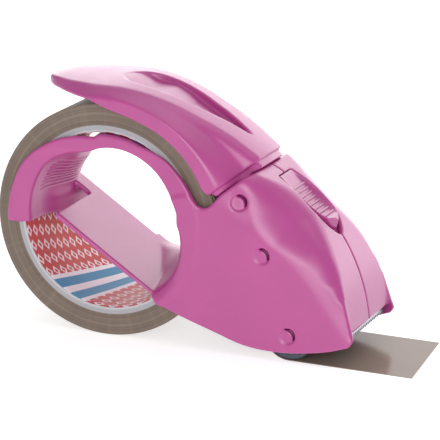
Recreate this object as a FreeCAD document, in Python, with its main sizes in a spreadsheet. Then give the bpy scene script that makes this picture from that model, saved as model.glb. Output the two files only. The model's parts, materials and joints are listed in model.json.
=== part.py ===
import FreeCAD, Part
import math
import os

import Sketcher
from FreeCAD import Placement, Rotation, Vector

# A hand-held packing tape dispenser: a roll of tape turns on a hub that the
# fingers pass through, a palm lever above the roll brakes it, a rubber roller
# presses the film down and a thumb slider on the nose pushes the blade out.
# Shapes are drawn in millimetres about the roll's axis, which lies along Y,
# with +X towards the blade and +Z up. The placement then stands them on Z = 0.

# Driving dimensions: name and value, lengths in millimetres, angles in degrees
SIZES = [
    # Roll of tape
    ("roll_radius", 50.0),
    ("roll_width", 50.0),
    ("core_bore_radius", 38.1),
    ("core_wall", 2.7),
    ("liner_wall", 0.35),
    ("film_wall", 0.3),
    ("film_gap", 0.3),
    ("film_reach", 53.5),
    ("film_skew", 4.0),
    # Casing
    ("stand_x", -43.5),
    ("film_room", 1.1),
    ("shell_wall", 2.3),
    ("side_gap", 0.3),
    ("roll_gap", 1.5),
    ("chin_ahead", 62.0),
    ("chin_height", 12.5),
    ("belly_height", 3.9),
    # Hub that carries the roll
    ("hub_gap", 0.35),
    ("hub_wall", 4.0),
    ("hub_near_reach", 2.0),
    ("hub_far_inset", 3.0),
    ("hub_start", -53.0),
    ("hub_end", 187.0),
    ("lip_rise", 8.1),
    ("lip_wall", 1.8),
    ("lip_start", 98.0),
    ("throat_wall", 3.4),
    ("throat_y", -4.0),
    ("funnel_start", 128.0),
    ("dish_top", 4.0),
    ("dish_middle_x", 15.7),
    ("dish_far_x", 1.5),
    ("plate_wall", 2.2),
    ("plate_drop", 13.6),
    ("plate_angle", 33.0),
    ("plate_far_inset", 5.5),
    ("plate_strip", 10.0),
    ("plate_notch_x", -23.0),
    ("rib_start", 141.0),
    ("rib_count", 7.0),
    ("rib_pitch", 3.0),
    ("rib_rise", 0.7),
    # Nose: arc that the blade carrier slides round
    ("nose_radius", 77.5),
    ("nose_ahead", 59.7),
    ("nose_height", 14.4),
    ("nose_dip", 1.9),
    ("nose_top_round", 12.0),
    ("nose_front_round", 1.2),
    ("cheek_length", 16.5),
    # Lever and its neck, in a frame set by the lever's end line
    ("end_gap", 3.5),
    ("end_turn", 22.3),
    ("end_angle", 39.4),
    ("neck_gap", 3.4),
    ("neck_reach", 4.8),
    ("neck_top", 15.3),
    ("neck_side_gap", 0.8),
    ("neck_wall", 2.0),
    ("opening_gap", 1.2),
    ("lever_wall", 2.2),
    ("skirt_clearance", 4.2),
    ("lug_radius", 7.5),
    ("lug_half_width", 12.0),
    ("recess_start", -3.5),
    ("recess_end", 7.4),
    ("recess_half_width", 11.0),
    ("recess_depth", 2.6),
    ("recess_wall", 1.6),
    ("brake_travel", 1.8),
    ("pad_length", 14.0),
    ("pad_inset", 7.0),
    ("pad_wall", 2.2),
    ("pad_seat", 1.2),
    ("pad_angle", 62.0),
    ("pad_gap", 0.3),
    # Pivots, bosses and screws
    ("pivot_gap", 11.9),
    ("pivot_turn", 14.2),
    ("middle_ahead", 21.2),
    ("middle_height", 44.2),
    ("roller_ahead", 33.5),
    ("roller_radius", 10.8),
    ("tyre_wall", 2.6),
    ("washer_wall", 0.6),
    ("washer_gap", 0.15),
    ("washer_radius", 7.0),
    ("sleeve_bore", 4.0),
    ("sleeve_wall", 1.0),
    ("running_gap", 0.05),
    ("boss_gap", 0.05),
    ("screw_radius", 1.5),
    ("screw_head_radius", 3.0),
    ("screw_head", 2.0),
    ("screw_length", 30.0),
    ("screw_sink", 3.4),
    ("drive_radius", 1.0),
    ("drive_depth", 1.2),
    ("dimple_radius", 3.3),
    ("dimple_depth", 1.8),
    # Thumb slot and button, as lengths along the nose from the neck
    ("slot_start", 7.2),
    ("slot_length", 35.2),
    ("slot_half_width", 6.8),
    ("slot_bow", 15.0),
    ("slot_tip", 1.2),
    ("button_gap", 0.4),
    ("button_travel", 3.2),
    ("button_seat", 0.5),
    ("button_rib_radius", 0.45),
    ("button_rib_count", 8.0),
    ("button_rib_pitch", 2.37),
    # Blade and its carrier
    ("carrier_gap", 1.7),
    ("carrier_wall", 2.0),
    ("carrier_start", 8.8),
    ("carrier_length", 60.9),
    ("carrier_inset", 5.0),
    ("stem_start", 13.0),
    ("stem_length", 19.0),
    ("stem_half_width", 4.0),
    ("rail_start", 26.4),
    ("rail_length", 33.8),
    ("rail_wall", 1.6),
    ("rail_overlap", 1.9),
    ("blade_back", 1.3),
    ("blade_drop", 3.2),
    ("blade_angle", 56.0),
    ("blade_length", 13.0),
    ("blade_wall", 0.8),
    ("tooth_pitch", 2.0),
    ("tooth_depth", 1.3),
    ("foot_wall", 2.0),
    ("rivet_radius", 1.5),
    ("rivet_head", 0.6),
    ("rivet_inset", 5.0),
    # Springs
    ("wire_radius", 0.45),
    ("coil_radius", 4.9),
    ("coil_turns", 4.25),
    ("coil_pitch", 1.4),
    ("coil_leg", 6.0),
    ("coil_turn_in", 20.0),
    ("push_coil_radius", 2.6),
    ("push_coil_turns", 6.0),
    ("push_wire_radius", 0.35),
    ("push_seat_gap", 0.65),
    ("push_start", 38.6),
    ("push_length", 12.2),
    ("push_drop", 7.0),
    ("push_half_height", 3.4),
    ("stop_wall", 2.8),
]

# Reach of the bodies that cut right through the object, in millimetres
MANY = 200.0
# Inner radius of the rings that are cut out of the nose, well inside its walls
NOSE_CORE = 15.0


def make_sheet(document):
    """The driving dimensions as named cells of a spreadsheet."""
    cells = document.addObject("Spreadsheet::Sheet", "Sizes")
    for row, (name, value) in enumerate(SIZES, start=1):
        cells.set("A%d" % row, name)
        cells.set("B%d" % row, str(value))
        cells.setAlias("B%d" % row, name)
    document.recompute()
    return cells


doc = FreeCAD.newDocument("TapeDispenser")
sheet = make_sheet(doc)
made = []


def size(name):
    """A driving dimension, read from its cell."""
    return float(sheet.get(name))


def stand():
    """Placement that stands the object on Z = 0 under its own origin."""
    return Placement(Vector(size("stand_x"), 0, size("roll_radius")), Rotation())


def polar(radius, degrees, x=0.0, z=0.0):
    """Point (x, z) at a radius and an angle from +X towards +Z."""
    turn = math.radians(degrees)
    return (x + radius * math.cos(turn), z + radius * math.sin(turn))


def half_width():
    """Half of the casing's width: film, room beside it and a side wall."""
    return size("roll_width") / 2.0 + size("film_room") + size("shell_wall")


def side_wall():
    """Inner face of a side wall, as a distance from the middle plane."""
    return half_width() - size("shell_wall")


def ahead(name):
    """X of a place that is measured forwards from the front of the roll."""
    return size("roll_radius") + size(name)


def height(name):
    """Z of a place that is measured up from the floor."""
    return size(name) - size("roll_radius")


def lever_frame(along, out):
    """Point (x, z) in the lever's end frame: along its end line and out of it."""
    turn = math.radians(size("end_angle"))
    x, z = polar(size("roll_radius") + size("end_gap"), size("end_turn"))
    return (x + along * math.cos(turn) + out * math.sin(turn),
            z + along * math.sin(turn) - out * math.cos(turn))


def pivot():
    """Axis that the lever turns on, as a point (x, z)."""
    return polar(size("roll_radius") + size("pivot_gap"), size("pivot_turn"))


def nose_corner():
    """Upper rear corner of the nose, where the neck's opening ends."""
    return lever_frame(size("neck_top") + size("opening_gap"), size("neck_gap"))


def nose_foot():
    """Lower end of the nose's front wall."""
    return (ahead("nose_ahead"), height("nose_height"))


def nose_centre():
    """Centre of the arc of the nose's radius through its top and its foot."""
    first = lever_frame(size("neck_top") + size("opening_gap") - size("nose_dip"),
                        size("neck_gap"))
    last = nose_foot()
    run = (last[0] - first[0], last[1] - first[1])
    chord = math.hypot(*run)
    away = math.sqrt(size("nose_radius") ** 2 - chord * chord / 4.0)
    x = (first[0] + last[0]) / 2.0 + run[1] / chord * away
    z = (first[1] + last[1]) / 2.0 - run[0] / chord * away
    return (x, z)


def nose_angle(point):
    """Angle of a point (x, z) about the nose's centre."""
    x, z = nose_centre()
    return math.degrees(math.atan2(point[1] - z, point[0] - x))


def nose_at(along):
    """Angle at a length along the nose, measured forwards from its corner."""
    return nose_angle(nose_corner()) - math.degrees(along / size("nose_radius"))


def nose(radius, degrees):
    """Point (x, z) at a radius about the centre of the nose arc."""
    return polar(radius, degrees, *nose_centre())


def cheek_angle():
    """Angle on the nose where its edge turns from rounded to crisp."""
    return nose_angle(nose_foot()) + math.degrees(size("cheek_length") / size("nose_radius"))


def nose_top():
    """Angle where the ring of the nose ends, under the lever's neck."""
    return nose_at(-size("neck_reach"))


def roller_z():
    """Height of the roller's axis: it rolls on the film, the film on the floor."""
    return size("roller_radius") + size("film_gap") + size("film_wall") - size("roll_radius")


def hub_radius():
    """Outside of the hub, a clearance inside the liner of the core."""
    return size("core_bore_radius") - size("liner_wall") - size("hub_gap")


def grip_radius():
    """Inside of the hub, where the fingers pass."""
    return hub_radius() - size("hub_wall")


def throat_radius():
    """Narrowest radius of the hub's rear funnel."""
    return grip_radius() - size("throat_wall")


def hub_near():
    """Near end of the hub, past the roll's near face."""
    return -size("roll_width") / 2.0 - size("hub_near_reach")


def hub_far():
    """Far end of the hub, short of the roll's far face."""
    return size("roll_width") / 2.0 - size("hub_far_inset")


def lip_radius():
    """Outside of the hub's lip at its rear end."""
    return hub_radius() + size("lip_rise")


def lip_face():
    """Far face of the hub's lip, just clear of the roll's near face."""
    return -size("roll_width") / 2.0 - size("side_gap")


def vec(point, y=0.0):
    """Vector of an (x, z) point at a given y."""
    return Vector(point[0], y, point[1])


def line(first, second):
    """Straight edge between two (x, z) points."""
    return Part.LineSegment(vec(first), vec(second)).toShape()


def arc(first, middle, last):
    """Arc through three (x, z) points."""
    return Part.Arc(vec(first), vec(middle), vec(last)).toShape()


def nose_arc(radius, start, end):
    """Edge round the nose centre from one angle to another."""
    middle = (start + end) / 2.0
    return arc(nose(radius, start), nose(radius, middle), nose(radius, end))


def spline(points):
    """Smooth edge through (x, z) points."""
    curve = Part.BSplineCurve()
    curve.interpolate([vec(point) for point in points])
    return curve.toShape()


def slab(edges, low, high):
    """Solid of a closed outline in the XZ plane, from one y to another."""
    face = Part.Face(Part.Wire(Part.__sortEdges__(edges)))
    face.translate(Vector(0, low, 0))
    return face.extrude(Vector(0, high - low, 0))


def polygon(points, low, high):
    """Prism of a polygon of (x, z) points, from one y to another."""
    edges = [line(points[i - 1], points[i]) for i in range(len(points))]
    return slab(edges, low, high)


def spin(profile, start, end, x=0.0, z=0.0):
    """Solid of a polygon of (radius, y) points turned round an axis along Y."""
    corners = [Vector(radius, y, 0) for radius, y in profile]
    face = Part.Face(Part.makePolygon(corners + corners[:1]))
    face.rotate(Vector(), Vector(0, -1, 0), start)
    solid = face.revolve(Vector(), Vector(0, -1, 0), end - start)
    solid.translate(Vector(x, 0, z))
    return solid


def sector(inner, outer, low, high, start, end, x=0.0, z=0.0):
    """Piece of a ring between two radii, two values of y and two angles."""
    profile = [(inner, low), (outer, low), (outer, high), (inner, high)]
    return spin(profile, start, end, x, z)


def rod(radius, low, high, x=0.0, z=0.0):
    """Cylinder along Y between two values of y."""
    return Part.makeCylinder(radius, high - low, Vector(x, low, z), Vector(0, 1, 0))


def fuse(shapes):
    """One solid from several that overlap or share faces."""
    whole = shapes[0].multiFuse(shapes[1:])
    return whole.removeSplitter()


def feature(label, shape):
    """A sub-part whose shape is worked out by its own function."""
    item = doc.addObject("Part::Feature", label)
    item.Label = label
    solids = shape.Solids
    item.Shape = solids[0] if len(solids) == 1 else Part.makeCompound(solids)
    item.Placement = stand().multiply(item.Shape.Placement)
    made.append(item)
    return item


# Turned pieces, each a body with a sketch of circles and a pad


def origin_plane(body, role):
    """One of a body's own origin planes, found by its role."""
    for plane in body.Origin.OriginFeatures:
        if plane.Role == role:
            return plane
    raise ValueError("no plane " + role)


def add_circle(sketch, radius):
    """Circle round the sketch's origin whose radius follows an expression."""
    index = sketch.addGeometry(Part.Circle(Vector(), Vector(0, 0, 1), 10.0), False)
    sketch.addConstraint(Sketcher.Constraint("Coincident", index, 3, -1, 1))
    bound = sketch.addConstraint(Sketcher.Constraint("Radius", index, 10.0))
    sketch.setExpression("Constraints[%d]" % bound, radius)


def ring_body(label, outer, inner, length, x="0", z="0"):
    """Tube along Y, its sizes and place given as expressions on the sheet."""
    body = doc.addObject("PartDesign::Body", label)
    body.Label = label
    sketch = body.newObject("Sketcher::SketchObject", label + "_section")
    sketch.AttachmentSupport = [(origin_plane(body, "XZ_Plane"), "")]
    sketch.MapMode = "FlatFace"
    add_circle(sketch, outer)
    add_circle(sketch, inner)
    pad = body.newObject("PartDesign::Pad", label + "_pad")
    pad.Profile = sketch
    pad.SideType = "Symmetric"
    pad.setExpression("Length", length)
    body.setExpression(".Placement.Base.x", "Sizes.stand_x + " + x)
    body.setExpression(".Placement.Base.z", "Sizes.roll_radius + " + z)
    made.append(body)
    return body


ROLLER_X = "(Sizes.roll_radius + Sizes.roller_ahead)"
PIVOT_RADIUS = "(Sizes.roll_radius + Sizes.pivot_gap)"
ROLLER_Z = "(Sizes.roller_radius + Sizes.film_gap + Sizes.film_wall - Sizes.roll_radius)"
TAPE_BORE = "Sizes.core_bore_radius + Sizes.core_wall"
SLEEVE_OUT = "Sizes.sleeve_bore + Sizes.sleeve_wall"
WHEEL_OUT = "Sizes.roller_radius - Sizes.tyre_wall"


def roll_pieces():
    """Wound tape, its paper core and the printed liner inside the core."""
    ring_body("tape_winding", "Sizes.roll_radius", TAPE_BORE, "Sizes.roll_width")
    ring_body("tape_core", TAPE_BORE, "Sizes.core_bore_radius", "Sizes.roll_width")
    ring_body("core_liner", "Sizes.core_bore_radius",
              "Sizes.core_bore_radius - Sizes.liner_wall", "Sizes.roll_width")


def roller_pieces():
    """Rubber tyre on a wheel that turns on a steel tube, and the lever's tube."""
    ring_body("roller_tyre", "Sizes.roller_radius", WHEEL_OUT,
              "Sizes.roll_width", x=ROLLER_X, z=ROLLER_Z)
    ring_body("roller_wheel", WHEEL_OUT, SLEEVE_OUT + " + Sizes.running_gap",
              "Sizes.roll_width", x=ROLLER_X, z=ROLLER_Z)
    ring_body("roller_axle", SLEEVE_OUT, "Sizes.sleeve_bore",
              "Sizes.roll_width + 2 * Sizes.film_room", x=ROLLER_X, z=ROLLER_Z)
    ring_body("lever_pivot_tube", SLEEVE_OUT, "Sizes.sleeve_bore",
              "2 * (Sizes.lug_half_width + 1)",
              x=PIVOT_RADIUS + " * cos(Sizes.pivot_turn * 1deg)",
              z=PIVOT_RADIUS + " * sin(Sizes.pivot_turn * 1deg)")


def roller_washers():
    """Two washers between the roller's ends and the side walls."""
    near = size("roll_width") / 2.0 + size("washer_gap")
    bore = size("sleeve_bore") + size("sleeve_wall") + size("running_gap")
    rings = []
    for low in (near, -near - size("washer_wall")):
        rings.append(sector(bore, size("washer_radius"), low, low + size("washer_wall"),
                            0, 360, ahead("roller_ahead"), roller_z()))
    feature("roller_washers", Part.makeCompound(rings))


# Free film: off the roll's front, round under the roller, out along the floor


def tape_film():
    """Film on the crossed tangent of roll and roller, then flat on the floor."""
    half = size("film_wall") / 2.0
    big = size("roll_radius") + size("film_gap") + half
    small = size("roller_radius") + size("film_gap") + half
    axis = (ahead("roller_ahead"), roller_z())
    heading = math.degrees(math.atan2(axis[1], axis[0]))
    leave = heading + math.degrees(math.acos((big + small) / math.hypot(*axis)))
    edges = []
    ends = []
    for side in (half, -half):
        start = polar(big + side, leave)
        touch = polar(small - side, leave + 180.0, *axis)
        low = polar(small - side, 270.0, *axis)
        middle = polar(small - side, (leave + 450.0) / 2.0, *axis)
        end = (low[0] + size("film_reach"), low[1])
        edges += [line(start, touch), arc(touch, middle, low), line(low, end)]
        ends.append((start, end))
    edges += [line(ends[0][0], ends[1][0]), line(ends[0][1], ends[1][1])]
    reach = size("roll_width") / 2.0
    film = slab(edges, -reach, reach)
    tip = axis[0] + size("film_reach")
    trim = Part.Face(Part.makePolygon([
        Vector(tip, -reach, -MANY), Vector(tip + 1.0, -reach, -MANY),
        Vector(tip + 1.0, reach, -MANY), Vector(tip - size("film_skew"), reach, -MANY),
        Vector(tip, -reach, -MANY)]))
    feature("tape_film", film.cut(trim.extrude(Vector(0, 0, 2.0 * MANY))))


# Shells


def nose_block(radius, half, top_round, front_round):
    """Near half of a ring about the nose centre, rounded along its outer edge."""
    start = cheek_angle()
    top = nose_top()
    block = sector(NOSE_CORE, radius, -half, 0.0, start, top, *nose_centre())
    length = math.radians(top - start) * radius
    for edge in block.Edges:
        box = edge.BoundBox
        on_side = abs(box.YMin + half) < 1e-4 and abs(box.YMax + half) < 1e-4
        if on_side and abs(edge.Length - length) < 0.1:
            first = edge.valueAt(edge.FirstParameter)
            last = edge.valueAt(edge.LastParameter)
            rounds = (top_round, front_round) if first.z > last.z else (front_round, top_round)
            return block.makeFillet(rounds[0], rounds[1], [edge]).Solids[0]
    raise ValueError("the outer edge of the nose was not found")


def body_outline():
    """Side wall: nose, chin, belly, round the roll's bore, notch and rear edge."""
    grip = grip_radius()
    chin = (ahead("chin_ahead"), height("chin_height"))
    under = (chin[0] - 1.8, chin[1] - 2.6)
    belly = (ahead("roller_ahead") - 13.0, height("belly_height"))
    thigh = (belly[0] - 18.0, belly[1] + 4.2)
    tail = polar(hub_radius() + 2.6, size("hub_start"))
    plate_end = polar(grip, size("hub_start"))
    grip_top = polar(grip, 25.0)
    shoulder = polar(hub_radius() + 4.6, 20.2)
    notch = (shoulder[0] + 4.2, shoulder[1] - 2.7)
    rear_low = lever_frame(-0.4, size("neck_gap"))
    rear_top = nose_corner()
    cheek = nose(size("nose_radius"), cheek_angle())
    top_angle = nose_angle(rear_top)
    top = nose(size("nose_radius"), top_angle)
    return [
        nose_arc(size("nose_radius"), top_angle, cheek_angle()),
        line(cheek, chin),
        line(chin, under),
        spline([under, belly, thigh, tail]),
        line(tail, plate_end),
        arc(plate_end, polar(grip, -14.0), grip_top),
        line(grip_top, shoulder),
        line(shoulder, notch),
        line(notch, rear_low),
        line(rear_low, rear_top),
        line(rear_top, top),
    ]


def half_shell_walls():
    """Side wall and rounded nose wall of the near half, with no fittings."""
    half = half_width()
    wall = size("shell_wall")
    radius = size("nose_radius")
    centre = nose_centre()
    low = nose_angle(nose_foot())
    start = cheek_angle()
    top = nose_top()
    round_top = size("nose_top_round")
    round_front = size("nose_front_round")
    block = nose_block(radius, half, round_top, round_front)
    room = nose_block(radius - wall, half - wall, round_top - wall, round_front / 2.0)
    corner = sector(NOSE_CORE, radius + 9.0, -half - 1.0, 0.5, start, top, *centre).cut(block)
    front_room = sector(NOSE_CORE, radius - wall, -half + wall, 0.5, low, start, *centre)
    nose_zone = sector(NOSE_CORE, radius, -half, 1.0, low, top, *centre)
    inside = polygon([(-MANY, -MANY), (MANY, -MANY), (MANY, MANY), (-MANY, MANY)],
                     -half + wall, 1.0).cut(nose_zone)
    walls = slab(body_outline(), -half, 0.0)
    return walls.cut([corner, room, front_room, inside])


def neck_opening():
    """Room for the lever's neck between the side walls."""
    reach = side_wall()
    edge = size("neck_top") + size("opening_gap")
    corners = [lever_frame(-30.0, -20.0), lever_frame(edge, -20.0),
               lever_frame(edge, 20.0), lever_frame(-30.0, 20.0)]
    return polygon(corners, -reach, reach)


def slot_plan(inset, front_extra):
    """Prism through the nose wall in the boat shape of the thumb slot."""
    middle = nose_at(size("slot_start") + size("slot_length") / 2.0)
    reach = size("nose_radius") * math.sin(size("slot_length") / 2.0 / size("nose_radius"))
    half = size("slot_half_width") - inset
    rear = inset - reach
    tip = reach - inset - front_extra
    bow = tip - size("slot_bow")
    flank = Vector(bow + 0.7 * (tip - bow), 0.62 * half, 0)
    end = size("slot_tip")
    corners = [Vector(rear, -half, 0), Vector(bow, -half, 0), Vector(tip, -end, 0),
               Vector(tip, end, 0), Vector(bow, half, 0), Vector(rear, half, 0)]
    edges = [Part.LineSegment(corners[i - 1], corners[i]).toShape() for i in (0, 1, 3, 5)]
    edges.append(Part.Arc(corners[1], Vector(flank.x, -flank.y, 0), corners[2]).toShape())
    edges.append(Part.Arc(corners[3], flank, corners[4]).toShape())
    face = Part.Face(Part.Wire(Part.__sortEdges__(edges)))
    depth = 16.0
    prism = face.extrude(Vector(0, 0, depth))
    prism.translate(Vector(0, 0, -depth / 2.0))
    prism.rotate(Vector(), Vector(0, 1, 0), 90.0 - middle)
    prism.translate(vec(nose(size("nose_radius"), middle)))
    return prism


def boss_places():
    """Axes of the three screw bosses: lever pivot, middle and roller."""
    return [
        pivot(),
        (ahead("middle_ahead"), height("middle_height")),
        (ahead("roller_ahead"), roller_z()),
    ]


def carrier_radius():
    """Outside of the blade carrier's strip."""
    return size("nose_radius") - size("shell_wall") - size("carrier_gap")


def carrier_half():
    """Half of the blade carrier's width."""
    return size("roll_width") / 2.0 - size("carrier_inset")


def push_radius():
    """Radius about the nose centre on which the carrier's spring lies."""
    return carrier_radius() - size("carrier_wall") - size("push_drop")


def push_spring_stop(side):
    """Half of the post that holds the front end of the push spring."""
    along = size("push_start") + size("push_length")
    angle = nose_at(along)
    past = nose_at(along + size("stop_wall"))
    low_radius = push_radius() - size("push_half_height")
    high_radius = push_radius() + size("push_half_height")
    corners = [nose(low_radius, past), nose(high_radius, past),
               nose(high_radius, angle), nose(low_radius, angle)]
    wall = side_wall()
    low, high = sorted((side * wall, side * size("boss_gap")))
    return polygon(corners, low, high)


def shell_fittings(side):
    """Bosses, carrier rail and spring stop of a shell: side -1 near, +1 far."""
    wall = side_wall()
    radius = size("sleeve_bore") - size("boss_gap")
    pieces = []
    low, high = sorted((side * wall, side * size("boss_gap")))
    for x, z in boss_places():
        pieces.append(rod(radius, low, high, x, z))
    outer = carrier_radius() - size("carrier_wall") - size("side_gap")
    low, high = sorted((side * wall, side * (carrier_half() - size("rail_overlap"))))
    start = nose_at(size("rail_start"))
    end = nose_at(size("rail_start") + size("rail_length"))
    pieces.append(sector(outer - size("rail_wall"), outer, low, high, end, start,
                         *nose_centre()))
    pieces.append(push_spring_stop(side))
    return pieces


def plate_z(x):
    """Height of the grip plate's top face at x."""
    return -size("plate_drop") - x * math.tan(math.radians(size("plate_angle")))


def chord_angle(radius, side):
    """Angle at which the grip plate's top meets a circle, on one side."""
    away = size("plate_drop") * math.cos(math.radians(size("plate_angle")))
    return 270.0 - size("plate_angle") + side * math.degrees(math.acos(away / radius))


def finger_room():
    """Opening for the fingers: a D at the near side, dished in at the front."""
    grip = grip_radius()
    right = chord_angle(grip, 1.0) - 360.0
    left = chord_angle(grip, -1.0)
    heel = size("dish_top")
    middle_x = size("dish_middle_x")
    far_x = size("dish_far_x")
    stations = [
        (hub_near() - 0.5, polar(grip, right), polar(grip, (right + heel) / 2.0)),
        (-1.0, (middle_x, plate_z(middle_x)), (middle_x + 10.6, plate_z(middle_x) + 7.2)),
        (hub_far() + 0.5, (far_x, plate_z(far_x)), (far_x + 19.0, plate_z(far_x))),
    ]
    wires = []
    for y, corner, bulge in stations:
        start = vec(polar(grip, heel), y)
        end = vec(polar(grip, left), y)
        top = vec(polar(grip, (heel + left) / 2.0), y)
        foot = vec(corner, y)
        wires.append(Part.Wire([
            Part.Arc(start, top, end).toShape(),
            Part.LineSegment(end, foot).toShape(),
            Part.Arc(foot, vec(bulge, y), start).toShape(),
        ]))
    return Part.makeLoft(wires, True, False)


def hub_disc():
    """Hub with its finger opening, closed below by the grip plate."""
    near = hub_near()
    far = hub_far()
    outer = hub_radius()
    notch_x = size("plate_notch_x")
    edge = size("roll_width") / 2.0 - size("plate_far_inset")
    drop = size("plate_wall") / math.cos(math.radians(size("plate_angle")))
    under = polygon([(-MANY, plate_z(-MANY) - drop), (MANY, plate_z(MANY) - drop),
                     (-MANY, plate_z(MANY) - drop)], near - 1.0, far + 1.0)
    notch = polygon([(-outer, plate_z(-outer) + 12.0), (-outer, plate_z(-outer) - 6.0),
                     (notch_x, plate_z(notch_x) - 6.0), (notch_x, plate_z(notch_x) + 2.0)],
                    near - 1.0, edge - size("plate_strip"))
    past = polygon([(-outer - 1.0, plate_z(-outer) + 9.0), (-outer - 1.0, -MANY), (4.0, -MANY),
                    (4.0, plate_z(4.0) + 1.0)], edge, far + 1.0)
    return rod(outer, near, far).cut([finger_room(), under, notch, past])


def hub_lip():
    """Flat rim at the near side that grows from the hub's top to its rear."""
    face = lip_face()
    start = size("lip_start")
    end = size("hub_end")
    steps = 6
    rim = []
    for index in range(steps + 1):
        share = index / steps
        growth = (lip_radius() - hub_radius()) * share ** 0.7
        rim.append(polar(hub_radius() + growth, start + (end - start) * share))
    inner = grip_radius() + 1.0
    foot = polar(inner, end)
    top = polar(inner, start)
    edges = [spline(rim), line(rim[-1], foot), arc(foot, polar(inner, (start + end) / 2.0), top),
             line(top, rim[0])]
    return slab(edges, face - size("lip_wall"), face)


def hub_funnel():
    """Rear wall of the hub: flared towards the near side, with a throat."""
    far = hub_far()
    face = lip_face()
    outer = hub_radius()
    throat = throat_radius()
    profile = [(outer, face), (outer, far), (grip_radius(), far),
               (throat + 1.6, far - 9.0), (throat, size("throat_y")),
               (throat + 2.6, size("throat_y") - 11.0), (outer - 2.2, face + 1.5)]
    return spin(profile, size("funnel_start"), size("hub_end"))


def grip_ribs():
    """Fingertip ribs along the rear funnel, one beside the other."""
    rise = size("rib_rise")
    throat = throat_radius()
    back = size("throat_y") - 11.0
    front = hub_far() - 9.0
    profile = [(throat + 4.0, back), (throat + 2.6 - rise, back),
               (throat - rise, size("throat_y")), (throat + 1.6 - rise, front),
               (throat + 3.0, front)]
    ribs = []
    for index in range(int(size("rib_count"))):
        start = size("rib_start") + index * size("rib_pitch")
        ribs.append(spin(profile, start, start + size("rib_pitch") * 0.4))
    return ribs


def near_shell():
    """Near half of the casing, in one piece with the hub."""
    half = size("roll_width") / 2.0 + size("side_gap")
    hub = [hub_disc(), hub_lip(), hub_funnel()] + grip_ribs()
    whole = fuse([half_shell_walls()] + hub + shell_fittings(-1))
    roll_room = sector(hub_radius(), size("roll_radius") + size("roll_gap"), -half, MANY, 0, 360)
    flare = spin([(grip_radius(), -half + 2.0), (lip_radius() - 1.5, -half - 3.0),
                  (grip_radius(), -half - 3.0)], size("funnel_start"), size("hub_end") + 1.0)
    cutters = [roll_room, flare, neck_opening(), slot_plan(0.0, 0.0)]
    side = half_width()
    for x, z in boss_places():
        cutters.append(rod(size("dimple_radius"), -side - 1.0, -side + size("dimple_depth"), x, z))
        cutters.append(rod(size("screw_radius") + size("boss_gap"),
                           -size("screw_length") / 2.0 + 2.0, 1.0, x, z))
    feature("near_shell", whole.cut(cutters))


def far_shell():
    """Far half of the casing, cut back round the roll so that it slides off."""
    half = half_width()
    walls = half_shell_walls().mirror(Vector(), Vector(0, 1, 0))
    loading = rod(size("roll_radius") + 2.0, -1.0, half + 1.0)
    whole = fuse([walls.cut(loading)] + shell_fittings(1))
    sink = half - size("screw_sink")
    cutters = [neck_opening(), slot_plan(0.0, 0.0)]
    for x, z in boss_places():
        cutters.append(rod(size("screw_radius") + size("boss_gap"), -1.0, half + 1.0, x, z))
        cutters.append(rod(size("screw_head_radius") + size("side_gap"), sink, half + 1.0, x, z))
    feature("far_shell", whole.cut(cutters))


def shell_screws():
    """Three screws that clamp the shells through the bosses, from the far side."""
    seat = half_width() - size("screw_sink")
    top = seat + size("screw_head")
    screws = []
    for x, z in boss_places():
        head = rod(size("screw_head_radius"), seat, top, x, z)
        shank = rod(size("screw_radius"), seat - size("screw_length"), seat, x, z)
        drive = rod(size("drive_radius"), top - size("drive_depth"), top + 1.0, x, z)
        screws.append(fuse([head, shank]).cut(drive))
    feature("shell_screws", Part.makeCompound(screws))


# Lever


def press(degrees):
    """How far a full press brings the lever, at an angle, nearer to the roll."""
    arm = size("roll_radius") + size("pivot_gap")
    turn = math.radians(size("brake_travel"))
    return turn * arm * math.sin(math.radians(degrees - size("pivot_turn")))


def lever_room():
    """Radius that the lever keeps free for the roll while it is pressed down."""
    return size("roll_radius") + size("side_gap") + press(size("pivot_turn") + 90.0)


def lever_stations():
    """Stations along the lever, from its tip to its end at the neck.

    Each has its top point, its bottom point and three half widths: at the
    crease of the top, at the waist of the side and along the lower edge.
    """
    half = half_width()
    marks = [
        (124.5, 15.9, 124.9, 14.3, 0.05, 0.07, 0.08),
        (121.8, 15.5, 122.7, 12.4, 0.26, 0.29, 0.30),
        (117.4, 14.1, 118.6, 9.5, 0.44, 0.49, 0.51),
        (109.1, 11.2, 110.3, 5.4, 0.65, 0.72, 0.77),
        (98.8, 8.6, 99.3, 2.0, 0.74, 0.83, 0.94),
        (86.0, 7.1, 88.3, -1.6, 0.74, 0.85, 1.00),
        (70.0, 6.9, 72.3, -3.2, 0.69, 0.83, 1.00),
        (54.8, 9.0, 54.7, -2.9, 0.63, 0.80, 1.00),
        (40.1, 13.4, 37.1, -2.6, 0.56, 0.77, 1.00),
    ]
    stations = []
    for high, rise, low, lift, crease, waist, skirt in marks:
        stations.append((polar(size("roll_radius") + rise, high),
                         polar(size("roll_radius") + lift, low),
                         crease * half, waist * half, skirt * half))
    top = size("neck_top") + size("opening_gap")
    stations.append((lever_frame(top, 0.0), lever_frame(-2.6, 0.0),
                     0.49 * half, 0.76 * half, half))
    return stations


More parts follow.
